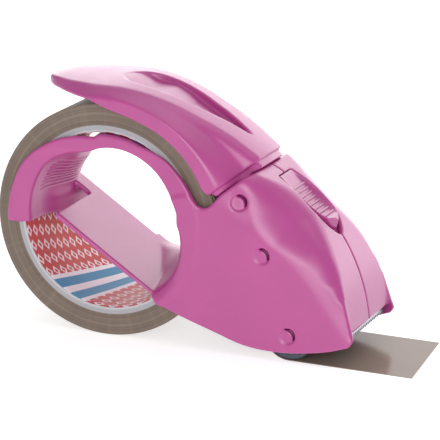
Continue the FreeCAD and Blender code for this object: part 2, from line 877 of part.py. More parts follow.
def lever_section(station, wall):
    """Closed outline across the lever at one station, inset by a wall."""
    top, bottom, crease, waist, skirt = station
    start = vec(top)
    down = vec(bottom) - start
    depth = down.Length
    down.normalize()

    def corner(width, along):
        return start + down * along + Vector(0, max(width - wall, 0.3), 0)

    clear = size("roll_radius") + size("skirt_clearance")
    slope = start.dot(down)
    inside = slope * slope - start.dot(start) + clear * clear
    crossing = -slope - math.sqrt(inside) if inside > 0.0 else depth
    shoulder = min(max(crossing, 0.4 * depth), 0.75 * depth)
    past = 0.3 * wall
    right = [corner(skirt, depth + past), corner(skirt - 0.2, shoulder + past),
             corner(waist, 0.72 * shoulder + past), corner(crease, 0.1 * depth + wall)]
    crown = start + down * wall
    left = [Vector(point.x, -point.y, point.z) for point in reversed(right)]
    points = right + [crown] + left
    return Part.makePolygon(points + points[:1])


def lever_blank(wall, first, end_wall):
    """Loft through the stations from one of them on, inset by a wall."""
    stations = lever_stations()[first:]
    if end_wall > 0.0:
        top, bottom, crease, waist, skirt = stations[-1]
        reach = size("neck_top") + size("opening_gap")
        stations[-1] = (lever_frame(reach, -end_wall), lever_frame(-2.6, -end_wall),
                        crease, waist, skirt)
    wires = [lever_section(station, wall) for station in stations]
    return Part.makeLoft(wires, True, True)


def recess_floor(x):
    """Depth of the teardrop recess at x: a ramp at both of its ends."""
    return size("recess_depth") * min(1.0, (x - size("recess_start")) / 14.0,
                                      (ahead("recess_end") - x) / 8.0)


def lever_top(x):
    """Height of the lever's top line at x, between its stations."""
    tops = [station[0] for station in lever_stations()]
    for left, right in zip(tops, tops[1:]):
        if left[0] <= x <= right[0]:
            share = (x - left[0]) / (right[0] - left[0])
            return left[1] + share * (right[1] - left[1])
    return tops[-1][1]


def recess_column(grow):
    """Teardrop seen from above: round at the palm end, pointed at the nose."""
    half = size("recess_half_width") + grow
    start = size("recess_start") - grow
    length = ahead("recess_end") + grow - start
    outline = [(0.0, 0.0), (0.11, 0.82), (0.27, 1.0), (0.49, 0.86), (0.75, 0.5), (1.0, 0.0)]
    sides = []
    for sign in (1.0, -1.0):
        curve = Part.BSplineCurve()
        curve.interpolate([Vector(start + length * along, sign * half * wide, 0)
                           for along, wide in outline])
        sides.append(curve.toShape())
    return Part.Face(Part.Wire(sides)).extrude(Vector(0, 0, 90.0))


def recess_layer(low, high, grow):
    """Part of the teardrop column between two depths under its floor."""
    start = size("recess_start")
    marks = [start + (ahead("recess_end") - start) * step / 8.0 for step in range(9)]
    floor = [(x, lever_top(x) - recess_floor(x) - low) for x in marks]
    roof = [(x, lever_top(x) - recess_floor(x) - high) for x in marks]
    layer = polygon(floor + roof[::-1], -30.0, 30.0)
    return recess_column(grow).common(layer)


def neck_block(inset, low, high):
    """Prism of the neck: the lever's end section, drawn in by an inset."""
    reach = size("neck_top") - inset
    wide = side_wall() - size("neck_side_gap")
    corners = [(inset, wide - inset), (0.4 * reach, 0.8 * wide - inset),
               (reach - 0.6, 0.5 * wide - inset), (reach, 0.0)]
    corners += [(along, -wide) for along, wide in reversed(corners[:-1])]
    points = [vec(lever_frame(along, low), wide) for along, wide in corners]
    face = Part.Face(Part.makePolygon(points + points[:1]))
    return face.extrude(vec(lever_frame(0.0, high)) - vec(lever_frame(0.0, low)))


def pad_block(grow):
    """The brake pad, a piece of a ring above the roll, or its holder."""
    middle = size("pad_angle")
    spread = math.degrees(size("pad_length") / 2.0 / size("roll_radius"))
    low = size("roll_radius") + size("pad_gap") + press(middle + spread) + grow
    high = low + size("pad_wall")
    half = size("roll_width") / 2.0 - size("pad_inset") + grow
    spread += 2.0 * grow
    return sector(low, high, -half, half, middle - spread, middle + spread)


def brake_lever():
    """Hollow palm lever with skirts beside the roll, a neck and a pivot lug."""
    wall = size("lever_wall")
    half = half_width()
    shell = lever_blank(0.0, 0, 0.0).cut(lever_blank(wall, 2, wall))
    lobe = [lever_frame(-3.4, -2.4), lever_frame(-5.4, -0.9), lever_frame(-3.3, 1.0),
            lever_frame(0.0, 0.0), lever_frame(4.0, -4.0)]
    lobes = [polygon(lobe, -half, -half + wall), polygon(lobe, half - wall, half)]
    pan = recess_layer(0.0, size("recess_wall"), 2.0)
    reach = size("neck_reach")
    neck = neck_block(0.0, -wall, reach).cut(
        neck_block(size("neck_wall"), -wall - 1.0, reach - wall))
    lug = rod(size("lug_radius"), -size("lug_half_width"), size("lug_half_width"), *pivot())
    lever = fuse([shell] + lobes + [pan, neck, pad_block(size("pad_seat"))])
    inner = half - wall - 0.1
    room = rod(lever_room(), -inner, inner)
    film_room = polygon([lever_frame(-9.0, -7.0), lever_frame(-0.6, -7.0),
                         lever_frame(-0.6, 3.0), lever_frame(-9.0, 3.0)], -inner, inner)
    loading = rod(lever_room(), 0.0, MANY)
    lever = lever.cut([recess_layer(0.0, -20.0, 0.0), room, film_room, loading])
    bore = size("sleeve_bore") + size("sleeve_wall") + size("running_gap")
    hole = rod(bore, -MANY, MANY, *pivot())
    lever = fuse([lever, lug]).cut([hole, pad_block(0.0)])
    solids = sorted(lever.Solids, key=lambda solid: solid.Volume)
    feature("brake_lever", solids[-1])
    feature("brake_pad", pad_block(0.0))


# Blade, its carrier and the thumb button


def blade_frame(along, out):
    """Point (x, z) in the blade's frame: towards its teeth and out of it."""
    turn = math.radians(size("blade_angle"))
    start = size("blade_length") - along
    foot = nose_foot()
    x = foot[0] - size("blade_back") - start * math.cos(turn) + out * math.sin(turn)
    z = foot[1] - size("blade_drop") + start * math.sin(turn) + out * math.cos(turn)
    return (x, z)


def rivet_y():
    """Distance of the blade's rivets from the middle plane."""
    return carrier_half() - size("rivet_inset")


def blade_slab(start, end, low, high, half):
    """Block square to the blade: along it, out of it and across it."""
    corners = [blade_frame(start, low), blade_frame(end, low),
               blade_frame(end, high), blade_frame(start, high)]
    return polygon(corners, -half, half)


def blade_rod(radius, low, high, y):
    """Cylinder square to the blade at a rivet's place."""
    middle = size("blade_length") * 0.35
    base = vec(blade_frame(middle, low), y)
    tip = vec(blade_frame(middle, high), y)
    return Part.makeCylinder(radius, high - low, base, tip - base)


def blade():
    """Steel strip whose lower edge is cut into teeth."""
    half = size("roll_width") / 2.0
    thick = size("blade_wall") / 2.0
    length = size("blade_length")
    pitch = size("tooth_pitch")
    across = vec(blade_frame(0.0, 1.0)) - vec(blade_frame(0.0, -1.0))
    root = vec(blade_frame(length - size("tooth_depth"), -1.0))
    past = vec(blade_frame(length + 0.2, -1.0))
    notches = []
    for index in range(int(2.0 * half / pitch) + 1):
        along = Vector(0, index * pitch - half, 0)
        spread = Vector(0, pitch * 0.55, 0)
        corners = [root + along, past + along + spread, past + along - spread, root + along]
        notches.append(Part.Face(Part.makePolygon(corners)).extrude(across))
    holes = [blade_rod(size("rivet_radius"), -2.0, 2.0, side * rivet_y())
             for side in (-1.0, 1.0)]
    strip = blade_slab(0.0, length, -thick, thick, half)
    feature("blade", strip.cut(notches + holes))


def blade_carrier():
    """Curved strip under the nose wall with a foot that holds the blade."""
    centre = nose_centre()
    half = carrier_half()
    outer = carrier_radius()
    inner = outer - size("carrier_wall")
    thick = size("blade_wall") / 2.0
    low = -thick - size("foot_wall")
    across = size("stem_half_width")
    start = size("carrier_start")
    strip = sector(inner, outer, -half, half, nose_at(start + size("carrier_length")),
                   nose_at(start), *centre)
    shoulder = blade_slab(-3.2, -0.1, low, 2.8, half)
    flange = blade_slab(-1.0, size("blade_length") * 0.65, low, -thick, half)
    stem = sector(outer - 0.5, outer + size("button_seat"), -across, across,
                  nose_at(size("stem_start") + size("stem_length")),
                  nose_at(size("stem_start")), *centre)
    lug = sector(push_radius() - size("push_half_height"), inner + 0.5, -across, across,
                 nose_at(size("push_start")),
                 nose_at(size("push_start") - size("stop_wall")), *centre)
    holes = [blade_rod(size("rivet_radius"), 2.0 * low, 0.0, side * rivet_y())
             for side in (-1.0, 1.0)]
    feature("blade_carrier", fuse([strip, shoulder, flange, stem, lug]).cut(holes))


def blade_rivets():
    """Two rivets that hold the blade to the carrier's foot."""
    thick = size("blade_wall") / 2.0
    low = -thick - size("foot_wall")
    rise = size("rivet_head")
    rivets = []
    for side in (-1.0, 1.0):
        y = side * rivet_y()
        head = blade_rod(size("rivet_radius") + 1.5 * rise, thick, thick + rise, y)
        shank = blade_rod(size("rivet_radius"), low, thick, y)
        tail = blade_rod(size("rivet_radius") + rise, low - rise, low, y)
        rivets.append(fuse([head, shank, tail]))
    feature("blade_rivets", Part.makeCompound(rivets))


def thumb_button():
    """Button in the boat-shaped slot: hollow for the thumb, ribbed, raised tip."""
    radius = size("nose_radius")
    begin = size("slot_start") + size("button_gap")
    length = size("slot_length") - size("button_travel") - 2.0 * size("button_gap")
    low = carrier_radius() + size("button_seat")
    marks = [(0.0, 0.5), (0.11, -0.6), (0.26, -1.3), (0.5, -0.3), (0.75, 1.5), (0.88, 2.3),
             (1.02, 0.4)]
    top = [nose(radius + rise, nose_at(begin + share * length)) for share, rise in marks]
    first = nose_at(begin)
    last = nose_at(begin + marks[-1][0] * length)
    edges = [spline(top), line(top[-1], nose(low, last)), nose_arc(low, last, first),
             line(nose(low, first), top[0])]
    block = slab(edges, -half_width(), half_width())
    button = block.common(slot_plan(size("button_gap"), size("button_travel")))
    ribs = []
    for index in range(int(size("button_rib_count"))):
        along = (3.0 + index) * size("button_rib_pitch")
        share = max(0.0, along / length - marks[2][0]) / (marks[5][0] - marks[2][0])
        x, z = nose(radius + marks[2][1] + 3.6 * share ** 1.6,
                    nose_at(size("slot_start") + along))
        wide = size("slot_half_width") - 1.4 - 0.25 * index
        ribs.append(rod(size("button_rib_radius"), -wide, wide, x, z))
    feature("thumb_button", fuse([button] + ribs))


# Springs


def arc_from(start, heading, end, flipped=False):
    """Arc between two points that leaves the first along a unit heading."""
    chord = end - start
    unit = chord * (1.0 / chord.Length)
    side = heading - unit * heading.dot(unit)
    side.normalize()
    turn = math.acos(max(-1.0, min(1.0, heading.dot(unit))))
    middle = (start + end) * 0.5 + side * (chord.Length / 2.0 * math.tan(turn / 2.0))
    if flipped:
        return Part.Arc(end, middle, start).toShape()
    return Part.Arc(start, middle, end).toShape()


def biarc(start, first, end, last):
    """Two arcs that join two points along the unit headings at both."""
    chord = end - start
    along = chord.dot(first + last)
    share = 1.0 - first.dot(last)
    reach = (math.sqrt(along * along + 2.0 * share * chord.dot(chord)) - along) / (2.0 * share)
    joint = (start + end + (first - last) * reach) * 0.5
    return [arc_from(start, first, joint), arc_from(end, last * -1.0, joint, True)]


def coil_state(radius, pitch, turn):
    """Point and unit heading of a coil round the Z axis after some turns."""
    angle = 2.0 * math.pi * turn
    rise = pitch / (2.0 * math.pi)
    point = Vector(radius * math.cos(angle), radius * math.sin(angle), pitch * turn)
    heading = Vector(-radius * math.sin(angle), radius * math.cos(angle), rise)
    heading.normalize()
    return point, heading


def least_gap(radius, pitch, turns, wire):
    """Least clear distance between one turn of a coil and the turns beside it."""
    steps = 36
    points = [coil_state(radius, pitch, index / steps)[0] for index in range(int(turns * steps))]
    least = min((points[i] - points[j]).Length for i in range(len(points))
                for j in range(i + steps // 2, len(points)))
    return least - 2.0 * wire


def coil_wire(radius, pitch, turns, wire, leg):
    """Round wire wound round the Z axis, with a straight leg at each end."""
    quarters = int(round(turns * 4.0))
    states = [coil_state(radius, pitch, index / 4.0) for index in range(quarters + 1)]
    first, heading = states[0]
    begin = first - heading * leg
    edges = [Part.LineSegment(begin, first).toShape()]
    for (start, out), (end, into) in zip(states, states[1:]):
        edges += biarc(start, out, end, into)
    last, away = states[-1]
    edges.append(Part.LineSegment(last, last + away * leg).toShape())
    section = Part.Wire(Part.makeCircle(wire, begin, heading))
    return Part.Wire(edges).makePipeShell([section], True, False)


def lever_spring():
    """Torsion spring round the pivot boss, its legs under the lever's neck."""
    coil = coil_wire(size("coil_radius"), size("coil_pitch"), size("coil_turns"),
                     size("wire_radius"), size("coil_leg"))
    coil.rotate(Vector(), Vector(1, 0, 0), -90.0)
    coil.rotate(Vector(), Vector(0, 1, 0), size("coil_turn_in"))
    coil.translate(vec(pivot(), size("lug_half_width") + 2.0))
    gap = least_gap(size("coil_radius"), size("coil_pitch"), size("coil_turns"),
                    size("wire_radius"))
    print("lever spring, least gap between turns", round(gap, 3))
    feature("lever_spring", coil)


def carrier_spring():
    """Push spring between the carrier's lug and the shells' post."""
    start = vec(nose(push_radius(), nose_at(size("push_start"))))
    end = vec(nose(push_radius(), nose_at(size("push_start") + size("push_length"))))
    wire = size("push_wire_radius")
    span = (end - start).Length
    turns = size("push_coil_turns")
    room = span - 2.0 * (wire + size("push_seat_gap"))
    pitch = room / turns
    coil = coil_wire(size("push_coil_radius"), pitch, turns, wire, 2.0 * wire)
    axis = end - start
    turn = Rotation(Vector(0, 0, 1), axis)
    axis.normalize()
    coil.Placement = Placement(start + axis * (wire + size("push_seat_gap")), turn)
    print("carrier spring, least gap between turns",
          round(least_gap(size("push_coil_radius"), pitch, turns, wire), 3))
    feature("carrier_spring", coil)


def write_parts():
    """Check every object and write each sub-part to its own file."""
    doc.recompute()
    for item in doc.Objects:
        bad = [state for state in item.State if state in ("Invalid", "Error")]
        if bad:
            raise RuntimeError(item.Name + " is " + ", ".join(bad))
    os.makedirs("parts", exist_ok=True)
    for item in made:
        shape = item.Shape
        if shape.isNull() or not shape.isValid():
            raise RuntimeError(item.Label + " has no valid shape")
        shape.exportStep(os.path.join("parts", item.Label + ".step"))
        print(item.Label, len(shape.Solids), round(shape.Volume, 1))


roll_pieces()
roller_pieces()
roller_washers()
tape_film()
near_shell()
far_shell()
shell_screws()
brake_lever()
blade()
blade_carrier()
blade_rivets()
thumb_button()
lever_spring()
carrier_spring()
write_parts()
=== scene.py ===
import json
import logging
import math
from collections.abc import Sequence
from dataclasses import dataclass, field
from enum import Enum

import bmesh
import bpy
import numpy as np
from mathutils import Matrix, Vector


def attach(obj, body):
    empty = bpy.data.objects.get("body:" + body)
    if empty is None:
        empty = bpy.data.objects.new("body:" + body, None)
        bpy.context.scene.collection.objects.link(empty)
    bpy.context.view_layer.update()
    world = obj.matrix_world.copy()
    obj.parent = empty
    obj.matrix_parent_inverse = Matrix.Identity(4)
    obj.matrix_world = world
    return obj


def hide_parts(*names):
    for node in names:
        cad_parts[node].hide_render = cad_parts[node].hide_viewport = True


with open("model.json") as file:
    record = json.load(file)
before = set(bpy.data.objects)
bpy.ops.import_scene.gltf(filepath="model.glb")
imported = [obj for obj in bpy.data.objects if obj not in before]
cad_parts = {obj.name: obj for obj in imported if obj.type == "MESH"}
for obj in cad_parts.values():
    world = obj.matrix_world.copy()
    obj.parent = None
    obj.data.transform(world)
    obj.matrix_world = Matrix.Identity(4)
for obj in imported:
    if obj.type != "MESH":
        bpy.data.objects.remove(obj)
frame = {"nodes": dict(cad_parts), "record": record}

# A hand-held packing tape dispenser. Shapes are drawn in millimetres about the
# roll's axis, with +X towards the blade, -Y towards the near casing half and +Z
# up, and stand on the floor in metres once they are placed.

MM = 0.001
AXIS_X = -43.5
AXIS_Z = 50.0
LOG = logging.getLogger("tape_dispenser")
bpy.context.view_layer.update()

Point = tuple[float, float]
Points = Sequence[Point]
Spot = tuple[float, float, float]
Colour = tuple[int, int, int]
Grid = np.ndarray
Socket = bpy.types.NodeSocket
Piece = bpy.types.Object
Material = bpy.types.Material


def placed(x: float, y: float, z: float) -> Vector:
    """A point about the roll's axis in millimetres, as its place in metres."""
    return Vector(((x + AXIS_X) * MM, y * MM, (z + AXIS_Z) * MM))


# Plane curves and the arithmetic of solid fields


def smooth_path(points: Points, per: int = 8) -> list[Point]:
    """Rounds a chain of points into a smooth curve that passes through them.

    Args:
        points: Chain of at least two points.
        per: Number of pieces between two neighbouring points.

    Returns:
        The points of the curve, its two ends included.
    """
    knots = np.array(points, float)
    slopes = np.gradient(knots, axis=0)
    path = []
    for index in range(len(knots) - 1):
        for step in range(per):
            t = step / per
            a, b = knots[index], knots[index + 1]
            curve = (a * (1 + 2 * t) * (1 - t) ** 2 + slopes[index] * t * (1 - t) ** 2
                     + b * t * t * (3 - 2 * t) - slopes[index + 1] * t * t * (1 - t))
            path.append((float(curve[0]), float(curve[1])))
    path.append((float(knots[-1][0]), float(knots[-1][1])))
    return path


def arc_path(radius: float, start: float, end: float, x: float = 0.0, z: float = 0.0,
             steps: int = 32) -> list[Point]:
    """Points round an arc.

    Args:
        radius: Radius of the arc.
        start: First angle in degrees, from +X towards +Z.
        end: Last angle in degrees.
        x: Centre of the arc.
        z: Centre of the arc.
        steps: Number of pieces.

    Returns:
        The points, both ends included.
    """
    angles = np.radians(np.linspace(start, end, steps + 1))
    return [(x + radius * math.cos(a), z + radius * math.sin(a)) for a in angles]


def through(value: Grid, places: Sequence[float], heights: Sequence[float]) -> Grid:
    """Smooth curve through given heights at rising places.

    Args:
        value: Where to read the curve.
        places: Rising places of the heights.
        heights: Height at each place.

    Returns:
        The curve's height at each value, level beyond both ends.
    """
    fine = smooth_path(list(zip(places, heights)), 10)
    return np.interp(value, [p[0] for p in fine], [p[1] for p in fine]).astype(np.float32)


def ease(value: Grid, start: float, end: float) -> Grid:
    """Smooth step from 0 at start to 1 at end."""
    t = np.clip((value - start) / (end - start), 0.0, 1.0)
    return t * t * (3.0 - 2.0 * t)


def within(value: Grid, low: float, high: float) -> Grid:
    """Field of the layer between two values."""
    return np.maximum(value - high, low - value)


def both(a: Grid, b: Grid, radius: Grid | float = 0.4) -> Grid:
    """Field of what lies in both solids.

    Args:
        a: Field of the first solid.
        b: Field of the second solid.
        radius: Rounding of the edge between them.

    Returns:
        The field of their common part.
    """
    u = np.maximum(a + radius, 0.0)
    v = np.maximum(b + radius, 0.0)
    return np.minimum(np.maximum(a, b), -radius) + np.sqrt(u * u + v * v)


def either(a: Grid, b: Grid, radius: Grid | float = 0.4) -> Grid:
    """Field of what lies in one solid or the other, the corner filled in."""
    return -both(-a, -b, radius)


def less(a: Grid, b: Grid, radius: Grid | float = 0.4) -> Grid:
    """Field of the first solid without the second, the edge rounded."""
    return both(a, -b, radius)


@dataclass
class Mould:
    """Block of space, sampled evenly, in which a moulded piece is worked out.

    Solids are fields of signed distances in millimetres, negative inside.
    """

    low: Spot
    high: Spot
    step: float

    def __post_init__(self) -> None:
        """Lays out the sample planes."""
        axes = []
        for start, end in zip(self.low, self.high):
            count = int(math.ceil((end - start) / self.step)) + 1
            axes.append(start + self.step * np.arange(count, dtype=np.float32))
        self.x = axes[0][:, None, None]
        self.y = axes[1][None, :, None]
        self.z = axes[2][None, None, :]

    def polar(self, x: float = 0.0, z: float = 0.0) -> tuple[Grid, Grid]:
        """Distance and angle in degrees round an axis along Y."""
        dx, dz = self.x - x, self.z - z
        return np.hypot(dx, dz), np.degrees(np.arctan2(dz, dx))

    def side(self, first: Point, last: Point) -> Grid:
        """Distance from a line in the XZ plane, negative on its right.

        Args:
            first: Point (x, z) that the line starts from.
            last: Point (x, z) that it heads for.

        Returns:
            Signed distance of every sample.
        """
        run = (last[0] - first[0], last[1] - first[1])
        length = math.hypot(*run)
        return (run[0] * (self.z - first[1]) - run[1] * (self.x - first[0])) / length

    def outline(self, points: Points, flat: bool = False) -> Grid:
        """Signed distance to a closed outline, negative inside.

        Args:
            points: Corners (x, z), or (x, y) for an outline seen from above.
            flat: Whether the outline lies in the XY plane.

        Returns:
            Distance of every sample of that plane.
        """
        rows = self.x[:, :, 0] if flat else self.x[:, 0, :]
        columns = self.y[0, :, :].T if flat else self.z[0, :, :]
        near = np.full((rows.shape[0], columns.shape[1]), 1e9, np.float32)
        inside = np.zeros(near.shape, bool)
        corners = np.array(points, np.float32)
        for (ax, az), (bx, bz) in zip(corners, np.roll(corners, -1, axis=0)):
            run_x, run_z = bx - ax, bz - az
            size = run_x * run_x + run_z * run_z
            if size < 1e-9:
                continue
            dx, dz = rows - ax, columns - az
            t = np.clip((dx * run_x + dz * run_z) / size, 0.0, 1.0)
            near = np.minimum(near, (dx - t * run_x) ** 2 + (dz - t * run_z) ** 2)
            if az != bz:
                crossing = (az > columns) != (bz > columns)
                inside ^= crossing & (rows < ax + run_x * (columns - az) / run_z)
        distance = np.sqrt(near) * np.where(inside, -1.0, 1.0).astype(np.float32)
        return distance[:, :, None] if flat else distance[:, None, :]

    def soften(self, solid: Grid) -> Grid:
        """Eases sharp edges.

        Args:
            solid: The field.

        Returns:
            The field averaged with its neighbours.
        """
        for axis, size in enumerate(solid.shape):
            wide = np.pad(solid, [(int(a == axis),) * 2 for a in range(3)], "edge")
            behind, ahead = (np.take(wide, range(k, k + size), axis) for k in (0, 2))
            solid = 0.5 * solid + 0.25 * (ahead + behind)
        return solid

    def slopes(self, solid: Grid, places: Grid) -> Grid:
        """Outward directions of a field's surface.

        Args:
            solid: The field.
            places: Points in millimetres, one per row.

        Returns:
            Unit directions, one per row.
        """
        spots = (places - np.array(self.low)) / self.step
        spots = np.clip(spots, 1.0, np.array(solid.shape) - 2.001)
        cells = spots.astype(int)
        shares = (spots - cells).astype(np.float32)
        total = np.zeros_like(places)
        for corner in np.ndindex(2, 2, 2):
            i, j, k = (cells + np.array(corner)).T
            weight = np.prod(np.where(np.array(corner), shares, 1.0 - shares), axis=1)
            slope = np.stack([solid[i + 1, j, k] - solid[i - 1, j, k],
                              solid[i, j + 1, k] - solid[i, j - 1, k],
                              solid[i, j, k + 1] - solid[i, j, k - 1]], axis=1)
            total += weight[:, None] * slope
        return total / np.maximum(np.linalg.norm(total, axis=1, keepdims=True), 1e-9)

    def skin(self, solid: Grid) -> tuple[Grid, Grid]:
        """Closed surface of a field.

        Args:
            solid: The field, positive all round the block.

        Returns:
            Corners in millimetres and four-sided faces.
        """
        inside = solid < 0.0
        shape = np.array(solid.shape)
        count = np.zeros(shape - 1, np.int8)
        for corner in np.ndindex(2, 2, 2):
            part = tuple(slice(c, c + n - 1) for c, n in zip(corner, shape))
            count += inside[part]
        cells = np.argwhere((count > 0) & (count < 8))
        number = np.full(shape - 1, -1, np.int32)
        number[tuple(cells.T)] = np.arange(len(cells))
        total = np.zeros((len(cells), 3))
        hits = np.zeros(len(cells))
        for axis in range(3):
            for first, second in np.ndindex(2, 2):
                start = np.insert([first, second], axis, 0)
                end = np.insert([first, second], axis, 1)
                a = solid[tuple((cells + start).T)]
                b = solid[tuple((cells + end).T)]
                crossing = (a < 0.0) != (b < 0.0)
                share = np.where(crossing, a / np.where(crossing, a - b, 1.0), 0.0)
                spot = start + share[:, None] * (end - start)
                total += np.where(crossing[:, None], spot, 0.0)
                hits += crossing
        corners = np.array(self.low) + self.step * (cells + total / hits[:, None])
        faces = []
        for axis in range(3):
            behind = tuple(slice(0, -1) if a == axis else slice(1, -1) for a in range(3))
            ahead = tuple(slice(1, None) if a == axis else slice(1, -1) for a in range(3))
            for outward in (True, False):
                full, empty = (behind, ahead) if outward else (ahead, behind)
                edges = np.argwhere(inside[full] & ~inside[empty])
                edges += np.array([int(a != axis) for a in range(3)])
                u, v = [a for a in range(3) if a != axis]
                turn = [(0, 0), (1, 0), (1, 1), (0, 1)]
                if outward == (axis == 1):
                    turn = turn[::-1]
                quad = []
                for du, dv in turn:
                    cell = edges.copy()
                    cell[:, u] -= 1 - du
                    cell[:, v] -= 1 - dv
                    quad.append(number[tuple(cell.T)])
                faces.append(np.stack(quad, axis=1))
        return corners, np.concatenate(faces)

    def cast(self, name: str, solid: Grid, budget: int) -> Piece:
        """Makes the piece: a closed, smoothly shaded mesh in its place.

        Args:
            name: Name of the piece.
            solid: The field, negative inside.
            budget: Most triangles that the mesh may have.

        Returns:
            The piece's object.
        """
        solid = self.soften(solid.astype(np.float32))
        corners, faces = self.skin(solid)
        mesh = bpy.data.meshes.new(name)
        mesh.from_pydata(corners.tolist(), [], faces.tolist())
        piece = stand(name, mesh)
        if 2 * len(faces) > budget:
            thin = piece.modifiers.new("thin", "DECIMATE")
            thin.ratio = budget / (2 * len(faces))
            bake_modifiers(piece)
        mesh = piece.data
        places = np.zeros(len(mesh.vertices) * 3, np.float32)
        mesh.vertices.foreach_get("co", places)
        places = places.reshape(-1, 3)
        directions = self.slopes(solid, places)
        mesh.shade_smooth()
        mesh.vertices.foreach_set(
            "co", ((places + np.array([AXIS_X, 0.0, AXIS_Z])) * MM).astype(np.float32).ravel())
        mesh.normals_split_custom_set_from_vertices(directions.tolist())
        mesh.update()
        return piece


def stand(name: str, data: bpy.types.ID) -> Piece:
    """New object in the scene.

    Args:
        name: Name of the object.
        data: Its mesh, light or camera.

    Returns:
        The object.
    """
    piece = bpy.data.objects.new(name, data)
    bpy.context.scene.collection.objects.link(piece)
    return piece


def bake_modifiers(piece: Piece) -> None:
    """Turns a piece with its modifiers into a plain mesh.

    Args:
        piece: The piece.
    """
    bpy.context.view_layer.update()
    evaluated = piece.evaluated_get(bpy.context.evaluated_depsgraph_get())
    mesh = bpy.data.meshes.new_from_object(evaluated)
    mesh.name = piece.name
    piece.modifiers.clear()
    piece.data = mesh


def lathe(name: str, profile: Points, x: float = 0.0, z: float = 0.0, steps: int = 192,
          rims: Sequence[int] = ()) -> Piece:
    """Turns a closed profile of (radius, y) points round an axis along Y.

    Args:
        name: Name of the piece.
        profile: Closed profile, anticlockwise with the radius to the right.
        x: Place of the axis.
        z: Place of the axis.
        steps: Number of pieces round the axis.
        rims: Profile pieces whose faces take the second material.

    Returns:
        The piece, with a UV map in millimetres: round at the profile's first
        radius and along the profile.
    """
    mesh = bpy.data.meshes.new(name)
    count = len(profile)
    corners = []
    for step in range(steps):
        angle = 2.0 * math.pi * step / steps
        for radius, y in profile:
            corners.append(placed(x + radius * math.cos(angle), y, z + radius * math.sin(angle)))
    faces = []
    for step in range(steps):
        after = (step + 1) % steps
        for index in range(count):
            other = (index + 1) % count
            faces.append((step * count + index, after * count + index,
                          after * count + other, step * count + other))
    mesh.from_pydata(corners, [], faces)
    along = [0.0]
    for (r0, y0), (r1, y1) in zip(profile, list(profile[1:]) + [profile[0]]):
        along.append(along[-1] + math.hypot(r1 - r0, y1 - y0))
    around = 2.0 * math.pi * profile[0][0] / steps
    layer = mesh.uv_layers.new(name="print")
    for index, face in enumerate(mesh.polygons):
        step, part = divmod(index, count)
        spots = [(step, part), (step + 1, part), (step + 1, part + 1), (step, part + 1)]
        for loop, (u, v) in zip(face.loop_indices, spots):
            layer.data[loop].uv = (u * around, along[v])
        if part in rims:
            face.material_index = 1
    mesh.shade_smooth()
    mesh.set_sharp_from_angle(angle=math.radians(38.0))
    piece = stand(name, mesh)
    check_outward(piece)
    return piece


def check_outward(piece: Piece) -> None:
    """Turns a closed mesh right side out if it encloses a negative volume.

    Args:
        piece: The piece with the mesh.
    """
    shape = bmesh.new()
    shape.from_mesh(piece.data)
    if shape.calc_volume(signed=True) < 0.0:
        bmesh.ops.reverse_faces(shape, faces=shape.faces)
        shape.to_mesh(piece.data)
    shape.free()


def turned(name: str, profile: Points, steps: int) -> Piece:
    """Turned piece about the Y axis through the world's origin, its poles closed.

    Args:
        name: Name of the piece.
        profile: Closed profile of (radius, y) points.
        steps: Number of pieces round the axis.

    Returns:
        The piece.
    """
    piece = lathe(name, profile, -AXIS_X, -AXIS_Z, steps)
    shape = bmesh.new()
    shape.from_mesh(piece.data)
    bmesh.ops.remove_doubles(shape, verts=shape.verts, dist=1e-7)
    shape.to_mesh(piece.data)
    shape.free()
    check_outward(piece)
    return piece


# Node trees for what repeats or follows a path, and for finishes


class NodeTree:
    """Node tree while it is built."""

    tree: bpy.types.NodeTree

    def add(self, kind: str, sockets: dict | None = None,
            **settings: object) -> bpy.types.Node:
        """Adds a node.

        Args:
            kind: The node's type.
            sockets: Value, or socket to link, for each named input.
            settings: The node's own properties.

        Returns:
            The node.
        """
        node = self.tree.nodes.new(kind)
        for key, value in settings.items():
            setattr(node, key, value)
        self.feed(node, sockets or {})
        return node

    def feed(self, node: bpy.types.Node, sockets: dict) -> None:
        """Sets or links inputs of a node.

        Args:
            node: The node.
            sockets: Value, or socket to link, for each input.
        """
        for key, value in sockets.items():
            if isinstance(value, Socket):
                self.tree.links.new(value, node.inputs[key])
            else:
                node.inputs[key].default_value = value


class Layout(Enum):
    """Ways in which a node tree sets out what it is given."""

    ROW = "copies in an even row"
    PLACES = "copies at given places"
    WIRE = "round wire along a path"


